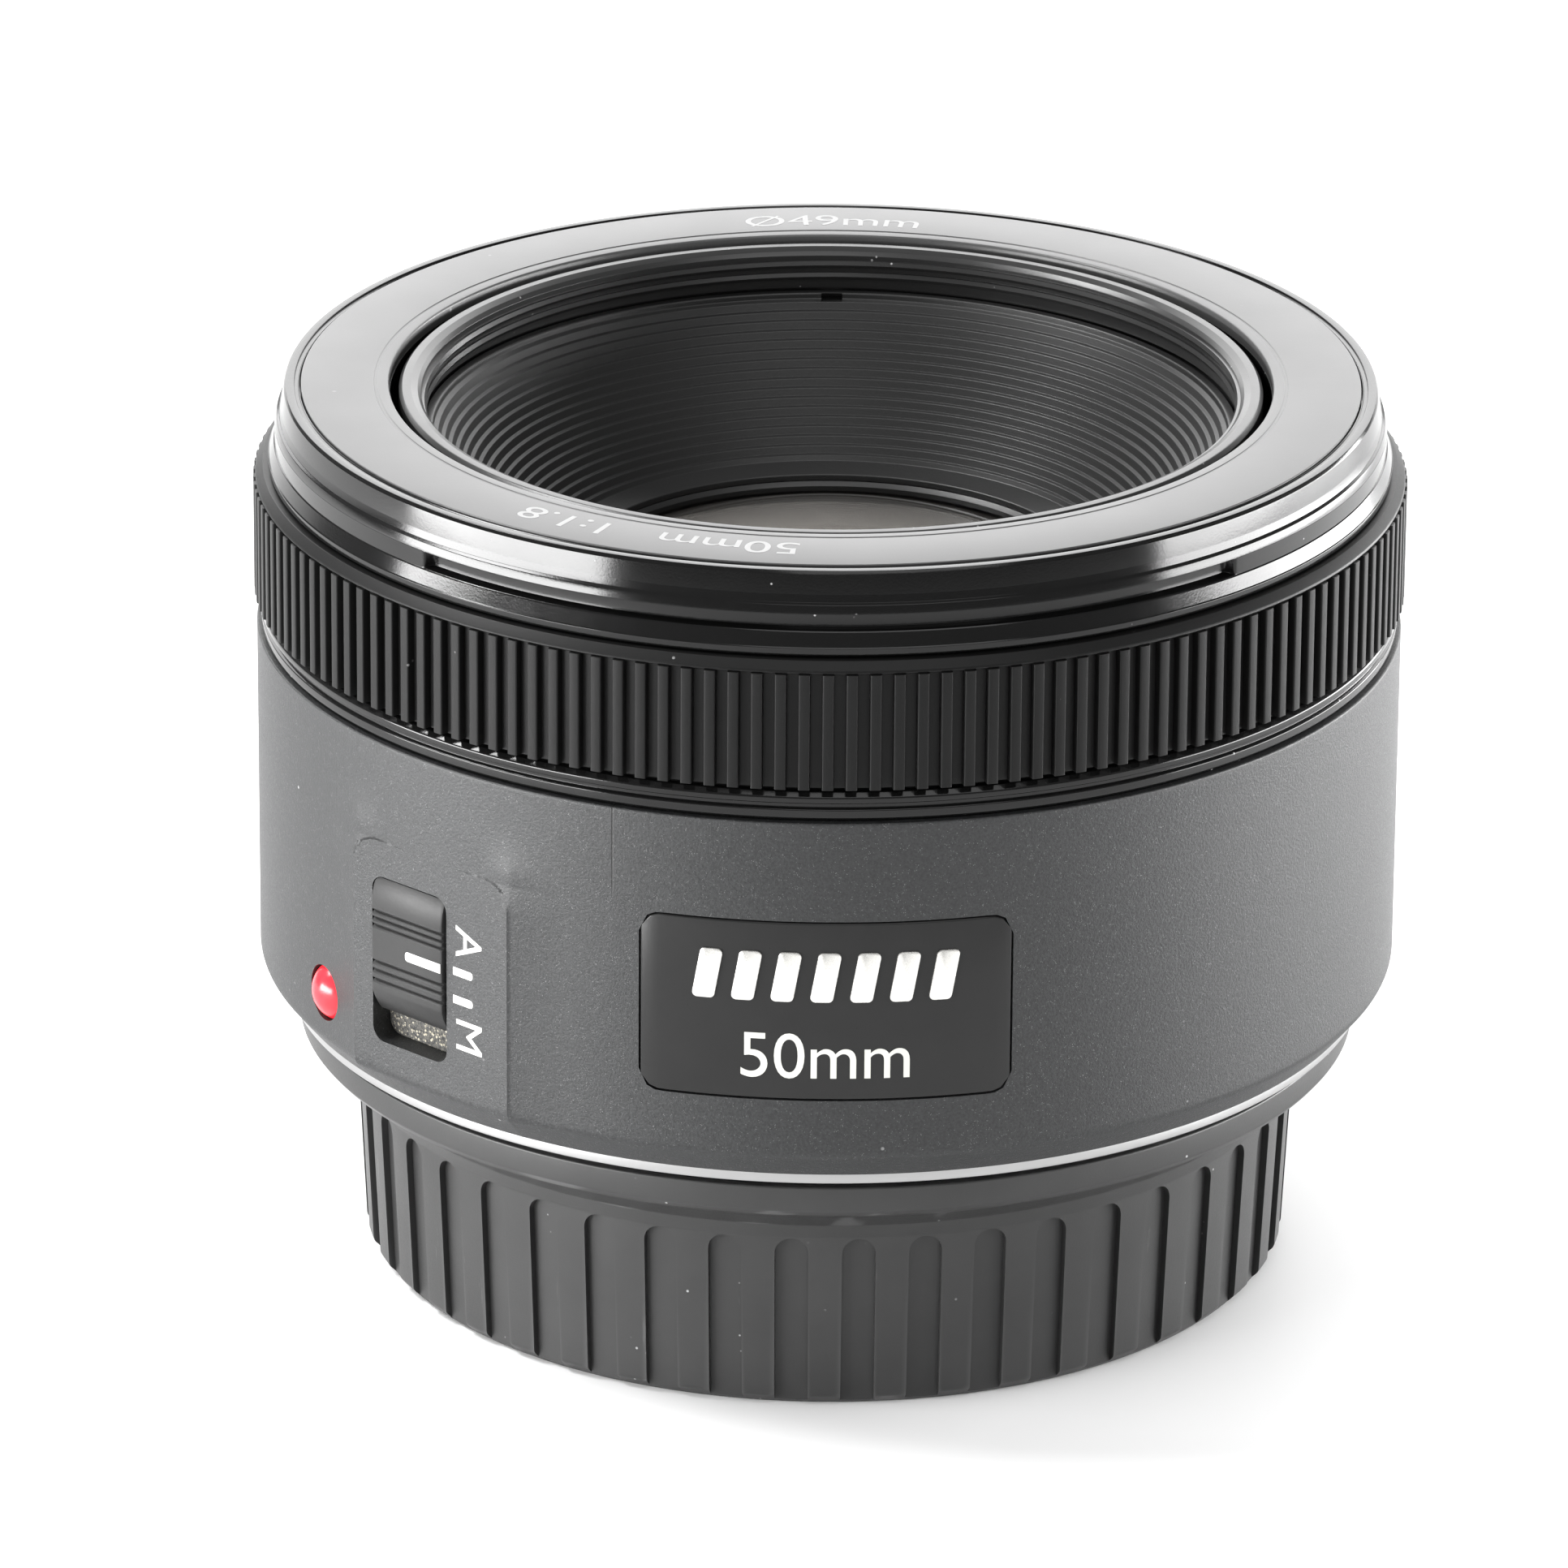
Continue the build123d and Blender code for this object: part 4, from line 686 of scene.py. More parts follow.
def panelRise(phi, radius, z):
    # the flat panel and the soft ramp that leads to it
    turn = radians(phi - panelShape["phi"])
    turn = (turn + pi) % (2 * pi) - pi
    full = barrelShape["radius"]
    if abs(turn) > 0.5 or radius < barrelShape["chamferRadius"] - 0.01:
        return radius
    across = full * sin(turn) + panelShape["shift"]
    half, corner = panelShape["half"], panelShape["corner"]
    outX = abs(across) - (half - corner)
    outZ = z - (panelShape["top"] - corner)
    outside = sqrt(max(outX, 0) ** 2 + max(outZ, 0) ** 2) + min(max(outX, outZ), 0) - corner
    held = max(-half, min(half, across))
    plane = panelShape["distance"]
    rise = plane / cos(turn) - full
    if outside > 0:
        edge = sqrt(plane ** 2 + held ** 2) - full
        fade = max(0.0, 1 - outside / panelShape["ramp"])
        rise = max(0.0, edge - panelShape["lip"]) * fade ** 2.0 * (1 + 0.8 * max(0.0, min(1.0, outZ - corner)))
    slope = max(0.0, min(1.0, (z - barrelShape["base"]) / (barrelShape["chamferTop"] + 0.5 - barrelShape["base"])))
    return radius + rise * slope ** 0.8


def barrelPhis():
    # columns stand closer where the panel is
    middle = panelShape["phi"]
    near = [middle - 17 + 0.25 * i for i in range(137)]
    far = [middle + 17 + 1.6 * i for i in range(1, 204)]
    return near + [phi for phi in far if phi < middle + 343 - 0.6]


def makeBarrel():
    shape = barrelShape
    top = panelShape["top"]
    heights = frange(19.6, top - 0.5, 0.28) + frange(top - 0.44, top + 0.3, 0.06) + frange(top + 0.5, 39.5, 0.28)
    rows = [(shape["radius"], z) for z in heights]
    corners = [(shape["floorBore"], shape["base"]), (shape["chamferRadius"], shape["base"], 0.12),
               (shape["radius"], shape["chamferTop"], 0.9)] + rows
    corners += [(shape["radius"], shape["top"], 0.12), (shape["bore"], shape["top"]),
                (shape["bore"], shape["floorTop"]), (shape["floorBore"], shape["floorTop"])]
    barrel = lathe("rearBarrel", corners, steps=6, shift=panelRise, angles=barrelPhis())
    cutters = [panelCutter(), pocketCutter(), badgeBlock("badgeCutter", badgeShape["gap"], 34.45 - 0.55, 36.0),
               dotCutter()]
    cut(barrel, cutters, 28.0)
    return settle(barrel, "barrel", "barrel_plastic", ["rear_barrel"])


def frange(low, high, step):
    count = int((high - low) / step)
    return [low + (high - low) * i / count for i in range(count + 1)]


def panelCutter():
    shape = panelShape
    outline = roundedBox(shape["left"], shape["right"], shape["windowBase"], shape["windowTop"],
                         shape["windowCorner"], 8)
    return prism("windowCutter", outline, 28.0, 37.0, panelAxes())


def pocketCutter():
    shape = panelShape
    outline = roundedBox(shape["left"] - 2.2, shape["right"] + 2.0, shape["windowBase"] - 1.5,
                         shape["windowTop"] + 1.5, 0.5, 3)
    return prism("pocketCutter", outline, 27.0, shape["distance"] - 1.45, panelAxes())


def dotCutter():
    outline = [(dotShape["hole"] * cos(2 * pi * i / 48), dotShape["hole"] * sin(2 * pi * i / 48)) for i in range(48)]
    return prism("dotCutter", outline, 31.0, 37.0, dotAxes())


def dotAxes():
    phi = radians(dotShape["phi"])
    frameAxes = Matrix((Vector((cos(phi), sin(phi), 0)), Vector((0, 0, 1)), Vector((sin(phi), -cos(phi), 0))))
    place = frameAxes.transposed().to_4x4()
    return Matrix.Translation((0, 0, dotShape["z"])) @ place


def badgeBlock(name, gap, inner, outer, bevel=0.0):
    # the badge's outline wrapped on the barrel, as a grid with its rim rounded
    shape = badgeShape
    outline = roundedBox(-shape["half"] - gap, shape["half"] + gap, shape["base"] - gap, shape["top"] + gap,
                         shape["corner"] + gap, 6)
    low, high = shape["base"] - gap, shape["top"] + gap
    columns = frange(-shape["half"] - gap, shape["half"] + gap, 0.5)
    levels = [(inner, 0.0), (outer - bevel, 0.0)]
    if bevel:
        levels += [(outer - bevel * (1 - sin(a)), bevel * (1 - cos(a))) for a in (pi / 8, pi / 4, 3 * pi / 8, pi / 2)]
    points, faces = [], []
    width, rows = len(columns), 7

    def edgeHeights(x, inset):
        reach = max(0.0, abs(x) - (shape["half"] + gap - shape["corner"] - gap))
        rounding = shape["corner"] + gap
        dip = rounding - sqrt(max(0.0, rounding ** 2 - min(reach, rounding) ** 2))
        return low + dip + inset, high - dip - inset

    def ringAt(radius, inset):
        loop = []
        xs = [x * (1 - inset / shape["half"]) for x in columns]
        for x in xs:
            loop.append((x, edgeHeights(x, inset)[0]))
        for x in reversed(xs):
            loop.append((x, edgeHeights(x, inset)[1]))
        return [onRing(radius, degrees(x / 34.45), z) for x, z in loop]

    loops = [ringAt(radius, inset) for radius, inset in levels]
    size = len(loops[0])
    for loop in loops:
        points += loop
    for level in range(len(loops) - 1):
        for i in range(size):
            j = (i + 1) % size
            faces.append((level * size + i, level * size + j, (level + 1) * size + j, (level + 1) * size + i))
    for base, flip in ((0, True), ((len(loops) - 1) * size, False)):
        for i in range(width - 1):
            quad = (base + i, base + i + 1, base + size - 2 - i, base + size - 1 - i)
            faces.append(quad[::-1] if flip else quad)
    return makeObject(name, points, faces)


def makeBadge():
    plate = badgeBlock("badgePlate", 0.0, 33.95, 34.45, 0.12)
    settle(plate, "barrel", "badge_plastic", ["badge_plate"])

    def wrapped(x, y, lift):
        return onRing(34.445 + lift, degrees(x / 34.45), y)

    numerals = raisedText("badgeNumerals", "50mm", 2.95, lambda x, y, lift: wrapped(x, y + 23.9, lift), 0.03)
    settle(numerals, "barrel", "badge_plastic", finish=badgeInk)
    ornament = {"bars": 7, "pitch": 2.3, "width": 1.35, "base": 28.7, "tall": 3.1, "slant": 0.55}
    bars = []
    for i in range(ornament["bars"]):
        middle = (i - (ornament["bars"] - 1) / 2) * ornament["pitch"]
        half, lean = ornament["width"] / 2, ornament["slant"] / 2
        low, high = ornament["base"], ornament["base"] + ornament["tall"]
        outline = [(middle - half - lean, low, 0.3), (middle + half - lean, low, 0.3),
                   (middle + half + lean, high, 0.3), (middle - half + lean, high, 0.3)]
        flat = [tuple(p) for p in roundedOutline(outline, 4)]
        bar = prism(f"ornamentBar{i}", flat, 0.0, 0.14, Matrix.Identity(3), 0.05, 2)
        for vertex in bar.data.vertices:
            x, y, lift = vertex.co / mm
            vertex.co = Vector(wrapped(x, y, lift)) * mm
        bars.append(bar)
    ornamentPiece = joined("badgeOrnament", bars)
    cleanMesh(ornamentPiece.data)
    settle(ornamentPiece, "barrel", "badge_plastic", finish=badgeSilver)


def makeDot():
    shape = dotShape
    radius, dome = shape["radius"], shape["dome"]
    ball = (radius ** 2 + dome ** 2) / (2 * dome)
    rows = [(0, shape["base"]), (radius, shape["base"]), (radius, shape["crown"])]
    for i in range(1, 11):
        across = radius * cos(pi / 2 * i / 10)
        rows.append((across, shape["crown"] + sqrt(ball ** 2 - across ** 2) - (ball - dome)))
    count = 56
    points, faces = [], []
    for k in range(count):
        for r, h in rows:
            points.append(dotAxes() @ Vector((r * cos(2 * pi * k / count), r * sin(2 * pi * k / count), h)))
    size = len(rows)
    for k in range(count):
        j = (k + 1) % count
        for i in range(size - 1):
            faces.append((k * size + i, j * size + i, j * size + i + 1, k * size + i + 1))
    dot = makeObject("indexDot", points, faces)
    return settle(dot, "barrel", "red_dot", ["index_dot"])


makeBarrel()
makeBadge()
makeDot()

# switch
print("stage: switch")
switchShape = {"left": -4.80, "right": 1.03, "base": 22.9, "top": 31.34, "floor": 32.97, "face": 34.58,
               "grooves": (29.25, 28.80, 28.35, 26.05, 25.50, 24.90), "grooveDepth": 0.22,
               "pointerZ": 27.12, "pointerTall": 0.58}


def knobFace(z):
    # how far the knob stands out at a height: a domed top, a flat middle and a sloping foot
    shape = switchShape
    up = max(0.0, (z - 29.6) / (shape["top"] - 29.6))
    down = max(0.0, (24.4 - z) / (24.4 - shape["base"]))
    face = shape["face"] - 0.4 * up ** 2.4 - 0.7 * down ** 1.6
    for groove in shape["grooves"]:
        face -= shape["grooveDepth"] * max(0.0, 1 - abs(z - groove) / 0.17)
    return face


def makeSwitch():
    shape = switchShape
    heights = sorted(set([shape["base"], shape["top"]] + frange(shape["base"] + 0.02, shape["top"] - 0.02, 0.0833)
                         + [g + d for g in shape["grooves"] for d in (-0.17, -0.005, 0.005, 0.17)]))
    bevel = 0.22
    slices = [(shape["left"], bevel), (shape["left"] + bevel * 0.3, bevel * 0.3), (shape["left"] + bevel, 0.0),
              (shape["right"] - bevel, 0.0), (shape["right"] - bevel * 0.3, bevel * 0.3), (shape["right"], bevel)]
    points, faces = [], []
    place = panelAxes()
    rows = len(heights)
    for x, inset in slices:
        for z in heights:
            points.append(place @ Vector((x, z, knobFace(z) - inset)))
        for z in (heights[-1], heights[0]):
            points.append(place @ Vector((x, z, shape["floor"])))
    size = rows + 2
    for k in range(len(slices) - 1):
        for i in range(size):
            j = (i + 1) % size
            faces.append((k * size + i, (k + 1) * size + i, (k + 1) * size + j, k * size + j))
    faces.append(tuple(range(size)))
    last = (len(slices) - 1) * size
    faces.append(tuple(range(last + size - 1, last - 1, -1)))
    knob = makeObject("switchKnob", points, faces, 24.0)
    middle = (panelShape["left"] + panelShape["right"]) / 2
    back = panelShape["distance"] - 1.45
    stem = prism("switchStem", roundedBox(middle - 0.7, middle + 0.7, 26.12, 28.1, 0.2), back - 0.69, 33.04, place)
    plate = prism("switchPlate", roundedBox(middle - 3.08, middle + 3.08, 24.25, 29.78, 0.4), back - 1.29,
                  back - 0.61, place, 0.1)
    settle(joined("modeSwitch", [knob, stem, plate], 24.0), "switch", "switch_plastic", ["mode_switch"])
    half = shape["pointerTall"] / 2
    tip = [(shape["right"] - 0.12, shape["pointerZ"] - half), (shape["right"] - 0.12, shape["pointerZ"] + half),
           (-1.95, shape["pointerZ"] + half, 0.2), (-1.95, shape["pointerZ"] - half, 0.2)]
    outline = [tuple(p) for p in roundedOutline(tip, 5)][::-1]
    line = prism("switchPointer", outline, shape["face"] - 0.02, shape["face"] + 0.02, place)
    settle(line, "switch", "switch_plastic", finish=whiteInk)


def makeFelt():
    shape = panelShape
    back = shape["distance"] - 1.45
    outline = roundedBox(shape["left"] - 1.18, shape["right"] + 1.18, shape["windowBase"] - 0.98,
                         shape["windowTop"] + 0.98, 0.4)
    felt = prism("switchFelt", outline, back - 0.39, back - 0.02, panelAxes(), 0.05)
    middle = (shape["left"] + shape["right"]) / 2
    slot = prism("feltSlot", roundedBox(middle - 0.9, middle + 0.9, 24.32, 28.3, 0.3), back - 2, back + 2, panelAxes())
    cut(felt, [slot])
    settle(felt, "barrel", "felt", ["switch_felt"])


def makePanelMarks():
    place = panelAxes()
    face = panelShape["distance"]
    marks = []
    for z in (27.18, 25.40):
        outline = [(1.7, z - 0.25), (3.28, z - 0.25, 0.2), (3.28, z + 0.25, 0.2), (1.7, z + 0.25)]
        flat = [tuple(p) for p in roundedOutline(outline, 5)]
        marks.append(prism("indexMark", flat, face - 0.03, face + 0.012, place))
    for letter, z in (("A", 29.15), ("M", 23.25)):
        def turned(x, y, lift, z=z):
            return place @ Vector((1.95 + y, z - x, face - 0.02 + lift))
        marks.append(raisedText("mark" + letter, letter, 2.2, turned, 0.034, 0.98))
    settle(joined("panelMarks", marks), "barrel", "barrel_plastic", finish=whiteInk)


makeSwitch()
makeFelt()
makePanelMarks()

# rings of the outside
print("stage: rings")
gripShape = {"rootRadius": 34.08, "ribRadius": 34.6, "ribs": 158, "width": 0.66, "base": 41.9, "ribTop": 48.92,
             "top": 49.7, "bore": 31.6}


def makeTrim():
    corners = [(33.3, 39.8), (33.95, 39.8, 0.1), (34.2, 40.05, 0.16), (34.2, 40.55, 0.1), (33.98, 40.66, 0.05),
               (33.98, 40.88, 0.05), (34.24, 40.98, 0.1), (34.24, 41.32, 0.22), (33.95, 41.6, 0.12), (33.3, 41.6)]
    settle(lathe("trimRing", corners, 288), "barrel", "gloss_black", ["trim_ring"])


def makeGrip():
    shape = gripShape
    bore, root = shape["bore"], shape["rootRadius"]
    corners = [(bore, shape["base"]), (root, shape["base"]),
               (root, shape["ribTop"] - 0.05), (34.5, shape["ribTop"] + 0.14, 0.08), (34.42, shape["ribTop"] + 0.3, 0.1),
               (34.02, shape["top"], 0.08), (bore, shape["top"]), (bore, 47.7), (bore + 0.7, 47.0),
               (bore + 0.7, 44.6), (bore, 43.9)]
    body = lathe("gripBody", corners, 316)
    half = shape["width"] / 2
    outline = [(-half, -shape["ribRadius"] + 0.005, 0.1), (half, -shape["ribRadius"] + 0.005, 0.1),
               (half * 1.06, -root + 0.15), (-half * 1.06, -root + 0.15)]
    section = [tuple(p) for p in roundedOutline(outline, 3)]
    rib = prism("rib", section, shape["base"] + 0.01, shape["ribTop"] + 0.16, Matrix.Identity(3))
    for vertex in rib.data.vertices:
        if vertex.co.z > (shape["ribTop"]) * mm and vertex.co.y < -(root + 0.1) * mm:
            vertex.co.z -= 0.10 * mm
    ribs = grow(rib, trees["polar"], {"Count": shape["ribs"], "Step Angle": 2 * pi / shape["ribs"],
                                      "Finish": finishes["grip_plastic"]})
    settle(joined("focusGrip", [body, ribs]), "focus_grip", "grip_plastic", ["focus_ring"])


def hoodGroove(phi, radius, z):
    # the lands beside the hood grooves stand out; elsewhere the groove goes all the way
    side = abs((phi + 180) % 180 - 90)
    inGroove = 51.2 < z < 52.25 and radius > 32.4
    if not inGroove:
        return radius
    land = 1 / (1 + 2.718281828 ** ((side - 45.2) * 14)) if abs(side - 45.2) < 2 else (1.0 if side < 45.2 else 0.0)
    return radius + (33.3 - radius) * land


def makeFront():
    fine = [(33.3, 52.23, 0.03), (32.62, 52.18, 0.04), (32.62, 51.28, 0.04), (33.3, 51.23, 0.03)]
    corners = [(31.55, 49.8), (33.66, 49.8, 0.12), (33.68, 50.28, 0.05), (33.62, 50.34, 0.04), (33.36, 51.16, 0.12)]
    corners += fine[::-1]
    corners += [(33.16, 52.74, 0.08), (33.0, 52.86, 0.04), (32.9, 53.3, 0.3), (32.72, 54.45, 0.08),
                (32.6, 54.65, 0.06), (32.12, 54.65, 0.05), (32.06, 54.52, 0.03), (31.86, 54.52, 0.03),
                (31.78, 54.62, 0.04), (31.75, 53.85), (26.4, 53.85), (26.4, 50.4), (27.3, 50.4), (27.3, 52.8),
                (30.3, 52.8), (30.3, 49.6), (31.55, 49.6)]
    phis = sorted([k * 1.5 for k in range(240)] + [base + off for base in (44.8, 135.2, 224.8, 315.2)
                                                   for off in (-0.5, -0.3, -0.1, 0.1, 0.3, 0.5)])
    settle(lathe("frontRing", corners, steps=4, shift=hoodGroove, angles=phis), "barrel", "gloss_black", ["front_ring"])


def makeNameRing():
    corners = [(26.42, 53.87), (31.7, 53.87), (31.7, 54.69, 0.08), (27.35, 54.69, 0.03), (27.3, 54.645, 0.02),
               (27.15, 54.645, 0.02), (27.1, 54.68, 0.03), (26.5, 54.66, 0.12), (26.42, 54.5)]
    settle(lathe("nameRing", corners, 288), "barrel", "name_ring_satin", ["name_ring"])

    def curved(middlePhi):
        def place(x, y, lift):
            radius = 28.25 + y
            return onRing(radius, middlePhi - degrees(x / 29.3), 54.688 + lift)
        return place

    words = [("50mm", -11.6, 1.28), ("1:1.8", -32.0, 1.25), ("Ø49mm", 180.0, 1.25)]
    pieces = [raisedText("ringNumerals", text, 1.95, curved(phi), 0.012, widen) for text, phi, widen in words]
    settle(joined("ringNumerals", pieces), "barrel", "name_ring_satin", finish=ringInk)


makeTrim()
makeGrip()
makeFront()
makeNameRing()

# optical block
print("stage: optics")
baffleShape = {"steps": 16, "topRadius": 23.5, "topZ": 51.3, "footRadius": 17.0, "footZ": 43.6}


def makeInnerBarrel():
    corners = [(24.6, 28.2), (25.85, 28.2, 0.1), (25.85, 54.15, 0.1), (25.62, 54.4, 0.12), (25.12, 54.4, 0.06),
               (24.72, 54.22, 0.1), (24.5, 53.98, 0.06), (24.5, 51.9), (24.75, 51.9), (24.75, 50.6), (23.9, 50.6), (23.9, 50.0), (24.6, 50.0),
               (24.6, 38.2), (22.6, 38.2), (22.6, 37.2), (24.6, 37.2)]
    tube = lathe("tube", corners, 288)
    seed = addObject("threadSeed", bpy.data.meshes.new("threadSeed"))
    thread = grow(seed, trees["thread"], {"Radius": 24.46 * mm, "Pitch": 0.75 * mm, "Turns": 2.2,
                                          "Ridge": 0.26 * mm, "Base Height": 52.15 * mm,
                                          "Finish": finishes["inner_barrel_gloss"]}, 50.0)
    settle(joined("innerBarrel", [tube, thread]), "optical_block", "inner_barrel_gloss", ["inner_barrel"])


def makeBaffle():
    shape = baffleShape
    run = (shape["topRadius"] - shape["footRadius"]) / shape["steps"]
    fall = (shape["topZ"] - shape["footZ"]) / shape["steps"]
    corners = [(24.42, 50.66), (24.42, 51.79, 0.1), (23.82, 51.79, 0.14), (23.8, 51.42, 0.1)]
    for i in range(shape["steps"]):
        corners.append((shape["topRadius"] - run * i, shape["topZ"] - fall * i, 0.09))
        corners.append((shape["topRadius"] - run * (i + 0.42), shape["topZ"] - fall * (i + 1) + 0.05, 0.05))
    corners += [(shape["footRadius"], shape["footZ"], 0.05), (16.85, 43.28, 0.1), (15.25, 42.98, 0.12), (15.22, 42.62),
                (17.9, 42.62), (23.7, 49.9), (23.7, 50.65)]
    cone = lathe("frontBaffle", corners, 240, 3)
    notch = prism("notchCutter", roundedBox(-0.65, 0.65, 51.3, 51.75, 0.05, 2), -25.0, -23.0,
                  Matrix(((1, 0, 0), (0, 0, -1), (0, 1, 0))))
    cut(cone, [notch])
    settle(cone, "optical_block", "baffle_matte", ["front_baffle"])


def sphereRows(radius, middle, bend, count=14):
    # (radius, height) from the axis out to the rim of a spherical face
    sign = 1 if bend > 0 else -1
    size = abs(bend)
    return [(radius * i / count, middle - sign * (size - sqrt(size ** 2 - (radius * i / count) ** 2)))
            for i in range(count + 1)]


def makeElement(name, node, radius, front, back):
    rows = sphereRows(radius, *front) + sphereRows(radius, *back)[::-1]
    element = lathe(name, rows, 160)
    settle(element, "optical_block", "coated_glass", [node])


def makeOptics():
    makeElement("frontElement", "front_element", 15.55, (44.9, 38), (41.3, 150))
    makeElement("rearElement", "rear_element", 11.15, (16.4, 90), (13.2, -45))
    retainer = lathe("frontRetainer", [(15.0, 42.0), (16.8, 42.0), (16.8, 42.58, 0.08), (15.25, 42.58, 0.1),
                                       (15.0, 42.3, 0.06)], 200)
    settle(retainer, "optical_block", "baffle_matte", ["front_retainer"])


makeInnerBarrel()
makeBaffle()
makeOptics()

# mount and cap
print("stage: mount and cap")
mountShape = {"base": 15.4, "screwRadius": 28.3, "screws": 4, "screwStart": 20.0, "tip": 9.9}
capShape = {"radius": 28.6, "draft": 0.5, "flutes": 45, "width": 2.0, "depth": 0.45, "archZ": 10.1, "phase": 4.2}


def makeMount():
    corners = [(23.6, 17.16), (32.8, 17.16, 0.05), (32.8, 16.49, 0.1), (31.2, 16.49, 0.05), (31.2, 15.4, 0.15),
               (25.3, 15.4, 0.1), (25.3, 9.9, 0.15), (23.6, 9.9, 0.15)]
    ring = lathe("mountRing", corners, 288)
    holes = []
    for index in range(mountShape["screws"]):
        phi = radians(mountShape["screwStart"] + 90 * index)
        centre = Vector((cos(phi), sin(phi), 0)) * mountShape["screwRadius"]
        circle = [(centre.x + 1.55 * cos(2 * pi * i / 40), centre.y + 1.55 * sin(2 * pi * i / 40)) for i in range(40)]
        holes.append(prism(f"screwSeat{index}", circle, 15.0, 16.25, Matrix.Identity(3)))
    cut(ring, holes)
    lugs = []
    for index in range(3):
        centre = 90 + 120 * index
        lugs.append(arcBlock(f"mountLug{index}", 24.9, 26.9, 9.9, 11.4, centre - 29, centre + 29))
    settle(joined("mountRing", [ring, *lugs]), "barrel", "mount_metal", ["mount_ring"])
    # a thin black ring in the gap between the mount band and the cap's rim: painted shade standing in for the shadow in
    # that gap
    step = lathe("mountStep", [(31.1, 15.6), (31.24, 15.6), (31.24, 16.46), (31.1, 16.46)], 240)
    settle(step, "barrel", "mount_metal", finish=finishes["inner_black"])


def arcBlock(name, inner, outer, low, high, fromPhi, toPhi):
    count = 28
    section = roundedOutline([(inner, low, 0.12), (outer, low, 0.12), (outer, high, 0.12), (inner, high, 0.12)], 3)
    points, faces = [], []
    for k in range(count + 1):
        phi = fromPhi + (toPhi - fromPhi) * k / count
        points += [onRing(p.x, phi, p.y) for p in section]
    size = len(section)
    for k in range(count):
        for i in range(size):
            j = (i + 1) % size
            faces.append((k * size + i, (k + 1) * size + i, (k + 1) * size + j, k * size + j))
    faces.append(tuple(range(size)))
    faces.append(tuple(range(count * size + size - 1, count * size - 1, -1)))
    return makeObject(name, points, faces)


def makeScrews():
    head = lathe("screwHead", [(0, 15.45), (1.25, 15.45, 0.2), (1.5, 15.7, 0.1), (1.5, 16.25), (0.8, 16.25),
                               (0.8, 19.85), (0, 19.85)], 40)
    cross = [prism(f"crossCutter{i}", roundedBox(*box, 0.05, 2), 15.0, 15.95, Matrix.Identity(3))
             for i, box in enumerate(((-1.0, 1.0, -0.18, 0.18), (-0.18, 0.18, -1.0, 1.0)))]
    cut(head, cross)
    start = radians(mountShape["screwStart"] + 90)
    for vertex in head.data.vertices:
        vertex.co.y -= mountShape["screwRadius"] * mm
    screws = grow(head, trees["polar"], {"Count": mountShape["screws"], "Step Angle": pi / 2, "Start Angle": start,
                                         "Finish": finishes["screw_steel"]})
    settle(screws, "barrel", "screw_steel", ["mount_screws"])


def makeContacts():
    step, middle, count = 6.2, 120.0, 7
    block = arcBlock("contactBlock", 20.0, 23.5, 11.6, 17.1, middle - 23, middle + 23)
    settle(block, "barrel", "contact_plastic", ["contact_block"])
    pin = lathe("contactPin", [(0, 11.2), (0.55, 11.2, 0.3), (0.55, 12.5), (0, 12.5)], 24)
    for vertex in pin.data.vertices:
        vertex.co.y -= 21.8 * mm
    pins = grow(pin, trees["polar"], {"Count": count, "Step Angle": radians(step),
                                      "Start Angle": radians(middle - step * (count - 1) / 2),
                                      "Finish": finishes["contact_gold"]})
    settle(pins, "barrel", "contact_gold", ["contact_pins"])


def makeCap():
    shape = capShape
    low = shape["radius"] - shape["draft"]
    corners = [(0, 0), (low - 0.7, 0, 0.25), (low, 0.7, 0.5), (shape["radius"], 11.15, 0.6), (29.1, 12.2, 0.6),
               (30.4, 13.35, 1.0), (31.7, 13.95, 0.5), (32.08, 14.4, 0.25), (32.1, 15.92, 0.12), (31.55, 15.92, 0.08),
               (31.5, 15.3), (27.3, 15.3, 0.1), (27.3, 1.8, 0.4), (0, 1.8)]
    body = lathe("capBody", corners, 270)
    half = shape["width"] / 2
    lean = shape["draft"] / 11.15
    floorPlace = Matrix(((1, 0, 0), (0, -lean, 1), (0, 1, 0)))
    outline = [(-half, -1.0), (half, -1.0)]
    outline += [(half * cos(pi * i / 14), shape["archZ"] + half * sin(pi * i / 14)) for i in range(15)]
    cutter = prism("fluteCutter", outline, -(low + 2.0), -(low - shape["depth"]), floorPlace)
    cap = grow(body, trees["flutes"], {"Count": shape["flutes"], "Step Angle": 2 * pi / shape["flutes"],
                                       "Start Angle": radians(shape["phase"]), "Flute Cutter": cutter, "Finish": finishes["cap_plastic"]}, 30.0)
    bpy.data.objects.remove(cutter)
    lugs = [arcBlock(f"capLug{i}", 25.6, 27.6, 11.9, 13.4, 150 + 120 * i - 25, 150 + 120 * i + 25) for i in range(3)]
    settle(joined("rearCap", [cap, *lugs], 30.0), "cap", "cap_plastic", ["rear_cap"])


makeMount()
makeScrews()
makeContacts()
makeCap()

# pieces that keep their own shape
print("stage: inner pieces")


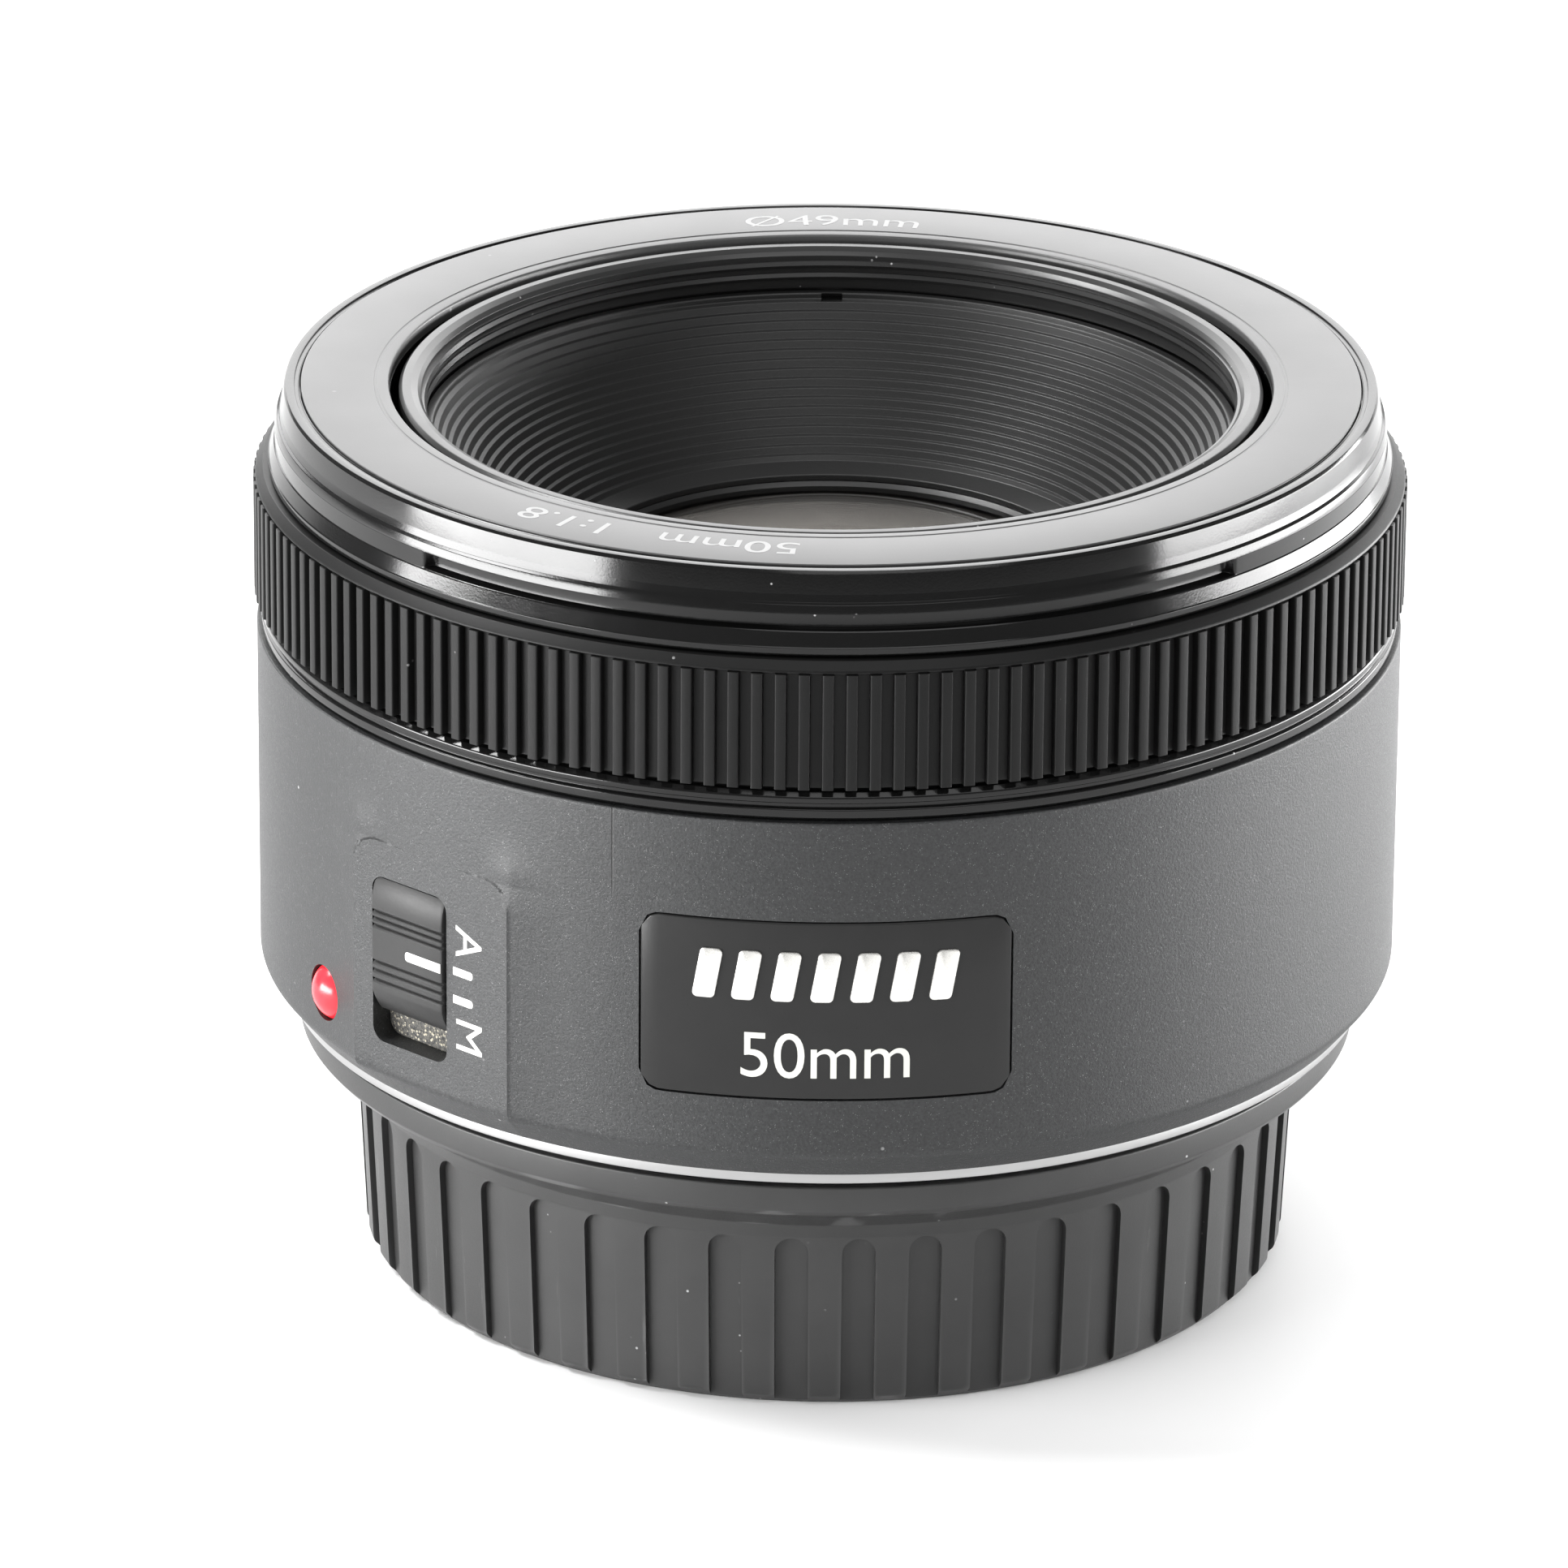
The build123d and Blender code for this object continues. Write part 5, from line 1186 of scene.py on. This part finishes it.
def finishInnerPieces():
    slots = {row["node"]: row["material_slot"] for row in frame["record"]["subparts"]}
    for name, piece in frame["nodes"].items():
        piece.data.materials.clear()
        piece.data.materials.append(finishes[slots[name]])


finishInnerPieces()

# studio
print("stage: studio")


def makeFloor():
    size = 3.0
    mesh = bpy.data.meshes.new("studioFloor")
    mesh.from_pydata([(-size, -size, 0), (size, -size, 0), (size, size, 0), (-size, size, 0)], [], [(0, 1, 2, 3)])
    floorPiece = addObject("studioFloor", mesh)
    paper = Finish("studioPaper", specularIORLevel=0.3)
    grain = paper.noise(40.0, 2.0)
    paper.set("baseColor", paper.blend(grain, shade(0.90), shade(0.92)))
    paper.set("roughness", 0.5 + grain * 0.1)
    mesh.materials.append(paper.material)


studioLights = {
    "keyLeft": {"place": (-0.60, 0.10, 0.75), "aim": (0, 0, 0), "size": (0.30, 0.30), "power": 8.0},
    "frontFill": {"place": (0.15, -0.55, 0.90), "aim": (0, -0.05, 0), "size": (0.7, 0.6), "power": 2.6},
    "rightStrip": {"place": (0.36, 0.07, 0.055), "aim": (0, 0, 0.03), "size": (0.48, 0.10), "power": 3.5},
    "leftStrip": {"place": (-0.36, -0.15, 0.055), "aim": (0, 0, 0.03), "size": (0.34, 0.10), "power": 3.2},
    "backWall": {"place": (0, 1.1, 0.5), "aim": (0, 0, 0.05), "size": (1.8, 0.8), "power": 17.0},
}


def makeLights():
    for name, light in studioLights.items():
        data = bpy.data.lights.new(name, "AREA")
        data.shape = "RECTANGLE"
        data.size, data.size_y = light["size"]
        data.energy = light["power"]
        lamp = bpy.data.objects.new(name, data)
        bpy.context.scene.collection.objects.link(lamp)
        place = Vector(light["place"])
        look = Vector(light["aim"]) - place
        lamp.matrix_world = Matrix.Translation(place) @ look.to_track_quat("-Z", "Y").to_matrix().to_4x4()
    world = bpy.data.worlds.new("studioWorld")
    world.use_nodes = True
    world.node_tree.nodes["Background"].inputs["Color"].default_value = shade(1.0)
    world.node_tree.nodes["Background"].inputs["Strength"].default_value = 0.30
    bpy.context.scene.world = world


makeFloor()
makeLights()

print("stage: done")
